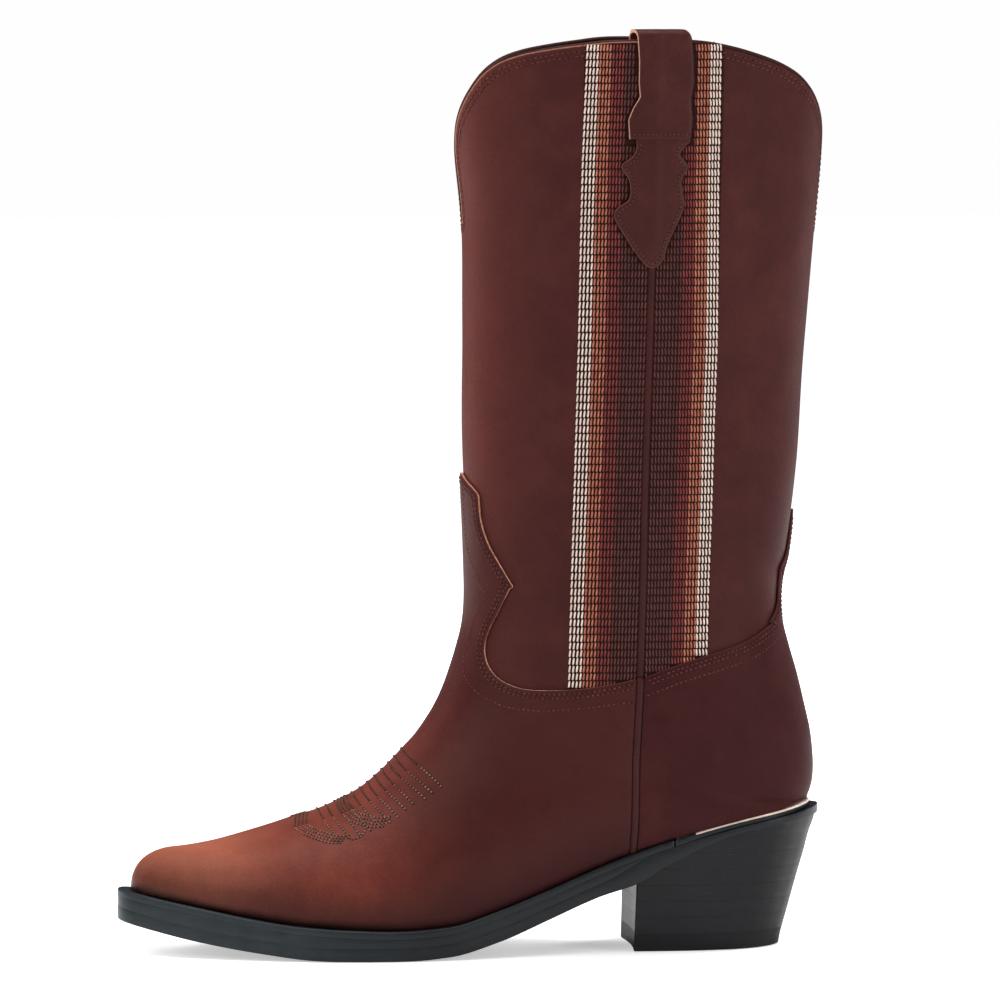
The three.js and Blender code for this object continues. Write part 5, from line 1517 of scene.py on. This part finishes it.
def vamp_rows():
    edge = tidy(np.vstack([vamp_top[-1][:-1], vamp_top[1][::-1]]), 0.8, closed=False)
    for distance, phase in ((1.5, 0), (3.1, 0.5)):
        threads["brown"].row(offset_line(edge, distance, (14.0, 0.0)), FOOT_DEPTH, radius=0.28,
                             phase=phase, **FOOT_STITCH)
    flat_vamp = to_chart(vamp_outline)
    for _, side in SIDES:
        along, around = spot_spline(VAMP_THIRD_ROW, 200)
        line = np.stack([along, around * side], 1)
        line = line[surface(*line.T)[:, 0] < float(seam_x(100)) - 2.2]
        flat = to_chart(line)
        margin = np.where(np.abs(line[:, 1]) > 0.3, 0.6, 2.6)
        line = line[inside(flat, flat_vamp) & (edge_distance(flat, flat_vamp) > margin)]
        threads["brown"].row(tidy(line, 0.8, closed=False), FOOT_DEPTH, radius=0.27,
                             **FOOT_STITCH)


def counter_rows(side):
    edge = tidy(counter_top[side], 0.8, closed=False)
    for distance, phase, radius in ((1.5, 0, 0.28), (3.1, 0.5, 0.28), (7.0, 0.2, 0.27)):
        line = offset_line(edge, distance, (13.0, side * 0.85))
        line = line[(np.abs(line[:, 1]) < 0.998) & (np.abs(line[:, 1]) > 0.4)]
        if distance > 5:
            # carry the row on to the side seam
            if np.abs(line[0, 1]) > np.abs(line[-1, 1]):
                line = line[::-1]
            span = float(np.linalg.norm(surface(*line[0]) - surface(*line[8])))
            reach = 3.0 / max(span, 1e-6)
            steps = np.linspace(1, 0.2, 5)[:, None]
            line = np.vstack([line[0] + (line[0] - line[8]) * reach * steps, line])
            line = line[surface(*line.T)[:, 2] < 150]
        threads["brown"].row(line, FOOT_DEPTH, radius=radius, phase=phase, **FOOT_STITCH)


def strap_rows(side):
    """A row round the tab and one across the foot of the strap."""
    stitch = dict(pitch=1.75, length=1.2, radius=0.21)
    inner = tuple(locate([float(seam_x(308, side)) - 3], [308], side)[0])
    line = offset_line(tidy(tab_lines[side], 0.6, closed=False), 1.35, inner)
    line = line[surface(*line.T)[:, 2] < 333.4]
    points = surface(*line.T)
    lift = 0.55 * over_seam(points[:, 0], points[:, 2], side)
    threads["dark"].row(line, 1.95 + lift, **stitch)
    z, margin = 336.5, 1.6
    xs = np.linspace(float(lookup(STRAP, z, 1)) + margin, float(lookup(STRAP, z, 2)) - margin, 60)
    xs = xs + float(seam_shift(z, side))
    lift = 0.45 * over_seam(xs, z, side)
    threads["dark"].row(locate(xs, np.full(60, z), side), 1.9 + lift, **stitch)


def topline_rows(side):
    """Two rows below each dip, stopping short of the strap."""
    for dips, inward, away, margin in ((dip_front, 0.2, -1, 10), (dip_back, 0.8, 1, 16)):
        line = dips[side]
        points = surface(*line.T)
        line = line[away * (points[:, 0] - seam_x(points[:, 2], side)) > margin]
        line = tidy(line, 0.8, closed=False)
        for distance, radius in ((1.7, 0.24), (3.6, 0.22)):
            threads["brown"].row(offset_line(line, distance, (4.0, side * inward)), 0.0,
                                 pitch=2.3, length=1.6, radius=radius)


vamp_rows()
for stitch_rows in (counter_rows, strap_rows, topline_rows):
    for _, side in SIDES:
        stitch_rows(side)

# Instep rows from the ridge down to the sides: along at the ridge, along and around at the end
INSTEP_ROWS = [
    (19.77, 21.62, .35), (20.66, 22.04, .353), (21.21, 22.35, .357), (21.71, 22.68, .345),
    (22.18, 23.0, .36), (22.59, 23.33, .362), (22.99, 23.62, .373), (23.38, 23.93, .38),
    (23.7, 24.25, .388), (24.15, 24.6, .394), (24.55, 24.94, .394), (24.93, 25.3, .407)]
# Curved scallops: number of rows side by side, samples, then along, around
SCALLOPS = [
    (4, 120, [(25.86, 0.0), (26.02, .10), (26.19, .203), (26.1, .285), (25.85, .353),
              (25.6, .393), (25.3, .407)]),
    (4, 120, [(24.1, 0.0), (24.27, .11), (24.36, .203), (24.38, .272), (24.29, .312),
              (24.12, .359), (23.85, .381)]),
    (1, 60, [(23.99, .19), (24.11, .282), (24.24, .337), (24.34, .364), (24.6, .394),
             (24.94, .402)])]


def instep_row(along, around, side, **stitch):
    """Olive thread near the ridge, tan further down, the tan lighter as painted sheen on the sides.
    """
    line = np.stack([along, side * np.maximum(around, 0.004)], 1)
    far = np.abs(line[:, 1]) > 0.19
    for key, part, phase in (("olive", line[~far], -0.25), ("tan", line[far], 0.0)):
        if len(part) > 3:
            threads[key].row(part, 1.6, rise=0.7, phase=phase, **stitch)


for _, side in SIDES:
    for start, end, turn in INSTEP_ROWS:
        share = np.linspace(0, 1, 60)
        instep_row(start + (end - start) * share ** 1.15, turn * share, side,
                   pitch=1.75, length=0.95, radius=0.34)
    for repeats, count, rows in SCALLOPS:
        along, around = spot_spline(rows, count)
        for k in range(repeats):
            instep_row(along - k * 0.155, around * (1 - 0.03 * k), side,
                       pitch=1.55, length=0.85, radius=0.32)

for pile in threads.values():
    pile.write()
HOLES.write()


# ------------------------------------------------------------- foot linings
LINING_TOP = 95.5


def foot_lining(name, front, node):
    offset = -0.15 if front else 0.15

    def half(side):
        seam = seam_line(side, offset, LINING_TOP, float(sole_top(SEAM_FOOT)) + 0.6, 60)
        arounds = np.linspace(0.0 if front else 1.0, abs(seam[0, 1]), 60)[:-1]
        bottom = bottom_edge(side, front, SEAM_FOOT + offset)
        if front:
            bottom = bottom[bottom[:, 0] < LAST - 1.4]
        return np.vstack([level_cut(LINING_TOP, side, arounds), seam, bottom])

    outline = tidy(drop_repeats(both_sides(half), not front), 1.6, back=not front)
    panel(name, outline, -2.9, -1.9, mats("lining"), "lining_leather", node, back=not front,
          step=3.2, floor=0.1, round_out=0.1)


foot_lining("lining_vamp", True, "vamp_lining")
foot_lining("lining_heel", False, "heel_lining")


# ---------------------------------------------------------------- the bottom
def inset(outline, distance):
    """Moves a closed outline inwards."""
    run = tangents(outline)
    inwards = np.stack([-run[:, 1], run[:, 0]], 1)
    if double_area(outline) < 0:
        inwards = -inwards
    return outline + inwards * np.asarray(distance, float)[..., None]


def slab(name, outline, low, high, mats, slot, node, r_hi, r_lo, grid, pale_rows=0):
    """A flat piece between the heights low(x) and high(x), its long edges rounded.

    The last material goes underneath. With pale_rows, the first takes only that many rows of
    the wall, behind PALE_X, and the last the rest of the wall."""
    outline = ccw(outline)
    rim = len(outline)
    angles = [math.radians(degrees) for degrees in (0, 22.5, 45, 67.5, 90)]
    rings = []
    for top, radius, turns in ((True, r_hi, angles), (False, r_lo, angles[::-1])):
        for angle in turns:
            plan = inset(outline, radius * (1 - math.sin(angle)))
            upper, lower = high(plan[:, 0]), low(plan[:, 0])
            squeeze = np.minimum(1, np.maximum(upper - lower, 0.02) / (r_hi + r_lo))
            drop = radius * (1 - math.cos(angle)) * squeeze
            rings.append(np.column_stack([plan, upper - drop if top else lower + drop]))
    quads = tube_quads(len(rings), rim)[:, ::-1]
    points, faces = triangulate(inset(outline, r_hi), grid)
    count, first = len(points), len(rings) * rim
    verts = np.vstack(rings + [np.column_stack([points, high(points[:, 0])]),
                               np.column_stack([points, low(points[:, 0])])])
    top_ids, low_ids = np.arange(count) + first, np.arange(count) + first + count
    top_ids[:rim] = np.arange(rim)
    low_ids[:rim] = np.arange(rim) + first - rim
    under = len(mats) - 1
    if pale_rows:
        wall, rest = quads[:pale_rows * rim], quads[pale_rows * rim:]
        pale = np.tile(outline[:, 0] > PALE_X, pale_rows)
        parts = [(wall[pale], 0), (wall[~pale], under), (rest, under)]
    else:
        parts = [(quads, 0)]
    parts += [(top_ids[faces], 0), (low_ids[faces][:, ::-1], under)]
    build(name, verts, parts, mats, slot, node)


PALE_X = 90.5
OUTLINE_GAP = 1.2

plan_points = [[x, -lateral] for x, lateral, _ in SOLE_PLAN]
plan_points += [[x, medial] for x, _, medial in SOLE_PLAN[1:-1][::-1]] + [[SOLE_PLAN[0][0], 0]]
PLAN = ccw(smooth_loop(spline(plan_points, 620)[:-1], 4))


def welt_thickness(x):
    return np.interp(x, [-160, 66, 106, 150], [3.2, 3.2, 2.6, 2.6])


def outsole_thickness(x):
    return np.interp(x, [-160, 40, 66, 95, 106, 150], [5.4, 5.2, 4.8, 2.4, 1.9, 1.9])


def welt_under(x):
    return sole_top(x) - welt_thickness(x)


def outsole_top(x):
    """Behind the heel breast the outsole takes over from the midsole, skived to nothing."""
    share = np.clip((x - 48) / 27.5, 0, 1)
    rest = welt_under(x) - 0.04 - sole_under(x) - outsole_thickness(x)
    return sole_under(x) + outsole_thickness(x) + rest * share * share * (3 - 2 * share)


def inner_plan():
    """Inner edge of the welt and rand."""
    toe, heel = -131, 133.5
    xs = toe + (heel - toe) * (1 - np.cos(np.linspace(0, math.pi, 61))) / 2
    ramp = np.sqrt(np.clip((xs - toe) / 7, 0, 1) * np.clip((heel - xs) / 14, 0, 1))
    lateral, medial = (
        np.maximum(0.6, lookup(SOLE_PLAN, xs, k) - WELT_RING * 1.08) * ramp for k in (1, 2))
    return np.vstack([np.column_stack([xs, -lateral]),
                      np.column_stack([xs, medial])[1:-1][::-1]])


def ring_part(x_cut, front):
    """The part of the ring in front of or behind x_cut, open there."""
    runs = []
    for edge in (PLAN, ccw(inner_plan())):
        kept = edge[(edge[:, 0] < x_cut) if front else (edge[:, 0] > x_cut)]
        gaps = np.linalg.norm(np.diff(np.vstack([kept, kept[:1]]), axis=0), axis=1)
        kept = np.roll(kept, -(int(np.argmax(gaps)) + 1), 0)
        kept[0, 0] = kept[-1, 0] = x_cut
        runs.append(kept)
    return np.vstack([runs[0], runs[1][::-1]])


def rand_outline():
    """The rear part of the ring, drawn in a little round the heel."""
    ring = ring_part(RING_END + 0.3, False)
    x = ring[:, 0]
    x = np.where(x > 96, x - 3.4 * ((x - 96) / 49.3) ** 2, x)
    y = np.where(x > 82, ring[:, 1] * (1 - 0.04 * np.clip((x - 82) / 20, 0, 1)), ring[:, 1])
    return resample_closed(np.stack([x, y], 1), OUTLINE_GAP)


def clip_behind(outline, x_cut):
    """Cuts away what lies behind x_cut and evens out the points."""
    kept = []
    for start, end in zip(outline, np.roll(outline, -1, 0)):
        start_in, end_in = x_cut - start[0] >= 0, x_cut - end[0] >= 0
        if start_in:
            kept.append(start)
        if start_in != end_in:
            kept.append(start + (end - start) * ((x_cut - start[0]) / (end[0] - start[0])))
    return resample_closed(np.array(kept), OUTLINE_GAP)


slab("welt_strip", resample_closed(ring_part(RING_END, True), OUTLINE_GAP), welt_under, sole_top,
     mats("welt"), "welt_leather", "welt", r_hi=1.0, r_lo=0.07, grid=2.5)
slab("rand_strip", rand_outline(), welt_under, sole_top, mats("rand", "edge"), "rand_leather",
     "heel_rand", r_hi=0.75, r_lo=0.07, grid=2.5, pale_rows=4)
slab("midsole_layer", clip_behind(PLAN * np.array([0.9994, 0.998]), 76),
     lambda x: outsole_top(x) + 0.02, lambda x: welt_under(x) - 0.01, mats("edge"),
     "sole_leather", "midsole", r_hi=0.07, r_lo=0.07, grid=5)
outsole_plan = resample_closed(PLAN, OUTLINE_GAP)
slab("outsole_layer", outsole_plan, sole_under, outsole_top, mats("edge", "under"),
     "sole_leather", "outsole", r_hi=0.07,
     r_lo=np.interp(outsole_plan[:, 0], [60, 68], [0.6, 0.08]), grid=3.5)

# ------------------------------------------------------------------- the heel
HEEL_PLAN = [row for row in SOLE_PLAN if row[0] >= 68]
HEEL_SEAT = 0.12    # gap between the heel and the outsole


def heel_outline(z):
    """The sole's rear outline fitted to the heel's breast, back and width at height z."""
    back, half = float(lookup(HEEL, z, 1)), float(lookup(HEEL, z, 2))
    breast = BREAST_X + 0.9 * min(1, z / 30)
    x_first = HEEL_PLAN[0][0]
    scale_x, scale_y = (back - breast) / (HEEL_PLAN[-1][0] - x_first), half / HEEL[-1][2]

    def corner(x, y):
        narrow = 1 - 0.2 * (1 - min(z, 55) / 55) * max(0.0, (x - 84) / 55) ** 1.4
        return [breast + (x - x_first) * scale_x, y * scale_y * narrow]

    ring = np.array([corner(x, -lateral) for x, lateral, _ in HEEL_PLAN]
                    + [corner(x, medial) for x, _, medial in HEEL_PLAN[:-1][::-1]])
    front = np.linspace(ring[-1], ring[0], 66)[1:-1]
    # the breast is slightly hollow
    front[:, 0] += 1.3 * np.sin(np.linspace(0, math.pi, 64)) ** 0.8
    return smooth_loop(np.vstack([spline(ring, 300), front]), 3)


def heel_piece(name, z_low, z_top, mats, slot, node, r_lo, r_hi):
    """One layer of the heel, cut off above by the underside of the sole."""
    def under_sole(x, z):
        return np.minimum(z, np.maximum(sole_under(x) - HEEL_SEAT, z_low + 0.02))

    xs = np.linspace(50, 147, 500)
    x_cut = float(np.interp(z_low + 0.15, sole_under(xs) - HEEL_SEAT, xs))
    heights = [z_top, z_top - r_hi * 0.3, z_top - r_hi, z_low * 0.33 + z_top * 0.67,
               z_low * 0.67 + z_top * 0.33, z_low + r_lo, z_low + r_lo * 0.3, z_low]
    insets = [r_hi, r_hi * 0.3, 0, 0, 0, 0, r_lo * 0.3, r_lo]
    rings = []
    for z, distance in zip(heights, insets):
        ring = inset(heel_outline(z), distance)
        rings.append(np.column_stack([ring, np.full(len(ring), z)]))
    base = heel_outline((z_low + z_top) / 2)
    keep = np.ones(len(base), bool)
    if x_cut > BREAST_X + 1.5 and float(sole_under(BREAST_X)) - HEEL_SEAT < z_low + 1.2:
        keep = base[:, 0] > x_cut
    if not keep.all():
        # the sole slopes through this layer: close it with a flat front at x_cut
        kept = np.where(keep)[0]
        breaks = np.where(np.diff(np.r_[kept, kept[0] + len(base)]) > 1)[0]
        order = np.roll(kept, -(breaks[0] + 1))
        count = 36
        for i, z in enumerate(heights):
            ring = rings[i][order]
            across = np.linspace(ring[-1, 1], ring[0, 1], count + 2)[1:-1]
            front = np.column_stack([np.full(count, x_cut), across, np.full(count, z)])
            rings[i] = np.vstack([ring, front])
    for ring in rings:
        ring[:, 2] = under_sole(ring[:, 0], ring[:, 2])
    if double_area(rings[0][:, :2]) < 0:
        rings = [ring[::-1] for ring in rings]
    rim, first = len(rings[0]), len(rings) * len(rings[0])
    top, top_faces = triangulate(rings[0][:, :2], 4.0)
    low, low_faces = triangulate(rings[-1][:, :2], 4.0)
    top_ids = np.arange(len(top)) + first
    top_ids[:rim] = np.arange(rim)
    low_ids = np.arange(len(low)) + first + len(top)
    low_ids[:rim] = np.arange(rim) + first - rim
    verts = np.vstack(rings + [np.column_stack([top, under_sole(top[:, 0], z_top)]),
                               np.column_stack([low, np.full(len(low), z_low)])])
    parts = [(tube_quads(len(rings), rim)[:, ::-1], 0), (top_ids[top_faces], 0),
             (low_ids[low_faces][:, ::-1], len(mats) - 1)]
    build(name, verts, parts, mats, slot, node, crease=20)


heel_piece("heel_cap_rubber", 0.0, HEEL_CAP_TOP, mats("rubber", "rubber"), "heel_rubber",
           "heel_cap", r_lo=0.5, r_hi=0.07)
lift_pitch = (LIFT_TOP - HEEL_CAP_TOP) / LIFTS
for i in range(LIFTS):
    heel_piece(f"heel_stack_{i + 1}", HEEL_CAP_TOP + i * lift_pitch + 0.012,
               HEEL_CAP_TOP + (i + 1) * lift_pitch - 0.006, mats("lift"), "heel_leather",
               f"heel_lift_{i + 1}", r_lo=0.04, r_hi=0.04)

# ------------------------------------- frame nodes that keep their own meshes
KEPT_NODES = {"toe_box": "stiff", "counter_stiffener": "stiff", "insole_board": "board",
              "sock_liner": "sock", "bottom_filler": "cork", "steel_shank": "steel"}
for prefix, count, key in (("shank_peg", 6, "peg"), ("heel_nail", 4, "steel"),
                           ("cap_nail", 5, "brass")):
    KEPT_NODES.update({f"{prefix}_{i}": key for i in range(1, count + 1)})
for node_name, key in KEPT_NODES.items():
    for material_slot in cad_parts[node_name].material_slots:
        material_slot.material = MATS[key]

# ------------------------------------------------- the set (metres from here on)
scene = bpy.context.scene
scene.view_settings.view_transform = "Standard"
scene.view_settings.look = "None"
scene.view_settings.exposure = 0.0
scene.view_settings.gamma = 1.0

LIGHT_STRENGTH, BACKDROP_STRENGTH = 0.10, 0.99
FLOOR_LIFT = 0.46   # glow of the floor close to the boot, as the camera sees it


def studio_world():
    """White: dim as a light, bright as the camera's backdrop."""
    world = bpy.data.worlds.new("studio")
    scene.world = world
    world.use_nodes = True
    nodes, links = world.node_tree.nodes, world.node_tree.links
    nodes.clear()
    output = nodes.new("ShaderNodeOutputWorld")
    mixer = nodes.new("ShaderNodeMixShader")
    path = nodes.new("ShaderNodeLightPath")
    links.new(path.outputs["Is Camera Ray"], mixer.inputs[0])
    for socket, strength in ((1, LIGHT_STRENGTH), (2, BACKDROP_STRENGTH)):
        background = nodes.new("ShaderNodeBackground")
        background.inputs[0].default_value = (1, 1, 1, 1)
        background.inputs[1].default_value = strength
        links.new(background.outputs[0], mixer.inputs[socket])
    links.new(mixer.outputs[0], output.inputs[0])


def aim(obj, place, direction):
    obj.location = place
    obj.rotation_mode = "QUATERNION"
    obj.rotation_quaternion = direction.to_track_quat("-Z", "Y")


def softbox(name, place, target, width, height, power, shine=True):
    light = bpy.data.lights.new(name, "AREA")
    light.shape = "RECTANGLE"
    light.size, light.size_y = width, height
    light.energy = power
    obj = bpy.data.objects.new(name, light)
    scene.collection.objects.link(obj)
    obj.visible_glossy = shine
    aim(obj, place, Vector(target) - Vector(place))


studio_world()
softbox("key_left", (-1.5, -1.5, 1.3), (0, 0, 0.16), width=1.0, height=1.4, power=17)
softbox("fill_right", (1.7, -1.4, 0.9), (0.02, 0, 0.2), width=1.0, height=1.5, power=17)
softbox("top", (-0.15, -0.15, 2.0), (-0.02, 0, 0.1), width=1.3, height=1.3, power=22)
softbox("rim_left", (-1.4, 0.9, 0.8), (0, 0, 0.18), width=0.7, height=1.4, power=34, shine=False)
softbox("rim_right", (1.4, 0.8, 0.8), (0, 0, 0.18), width=0.7, height=1.4, power=30, shine=False)


def floor_material():
    """White paper: diffuse, and lifted for the camera to stay as pale as the backdrop."""
    m = Mat("floor_white")
    m.set(Base_Color=(0.9, 0.9, 0.9, 1), Roughness=0.95, Specular_IOR_Level=0.0)
    seen = m.new("LightPath").outputs["Is Camera Ray"]
    away = m.new("VectorMath", {0: m.place}, operation="LENGTH").outputs["Value"]
    lift = m.add(m.mul(m.span(away, zero=0.34, one=1.1), 1.0 - FLOOR_LIFT), FLOOR_LIFT)
    glow = m.new("Emission", {"Color": (1, 1, 1, 1), "Strength": m.mul(seen, lift)})
    both = m.new("AddShader", {0: m.bsdf.outputs[0], 1: glow.outputs[0]})
    m.feed(m.output.inputs[0], both.outputs[0])
    return m.mat


floor_mesh = bpy.data.meshes.new("floor")
floor_mesh.from_pydata([(-6, -6, 0), (6, -6, 0), (6, 8, 0), (-6, 8, 0)], [], [(0, 1, 2, 3)])
floor_mesh.materials.append(floor_material())
floor = bpy.data.objects.new("floor", floor_mesh)
scene.collection.objects.link(floor)
floor.location.z = -0.0002

CAMERA_TURN, CAMERA_RISE = math.radians(-6), math.radians(4.2)
CAMERA_DISTANCE = 3.255
CAMERA_TARGET = Vector((0.013 + SHIFT[0] / 1000, 0.00009, 0.185))

camera_data = bpy.data.cameras.new("camera")
camera_data.sensor_width = 36
camera_data.lens = 284.4
camera_data.clip_start, camera_data.clip_end = 0.1, 60
camera = bpy.data.objects.new("camera", camera_data)
scene.collection.objects.link(camera)
to_camera = Vector((math.sin(CAMERA_TURN) * math.cos(CAMERA_RISE),
                    -math.cos(CAMERA_TURN) * math.cos(CAMERA_RISE), math.sin(CAMERA_RISE)))
aim(camera, CAMERA_TARGET + to_camera * CAMERA_DISTANCE, -to_camera)
scene.camera = camera
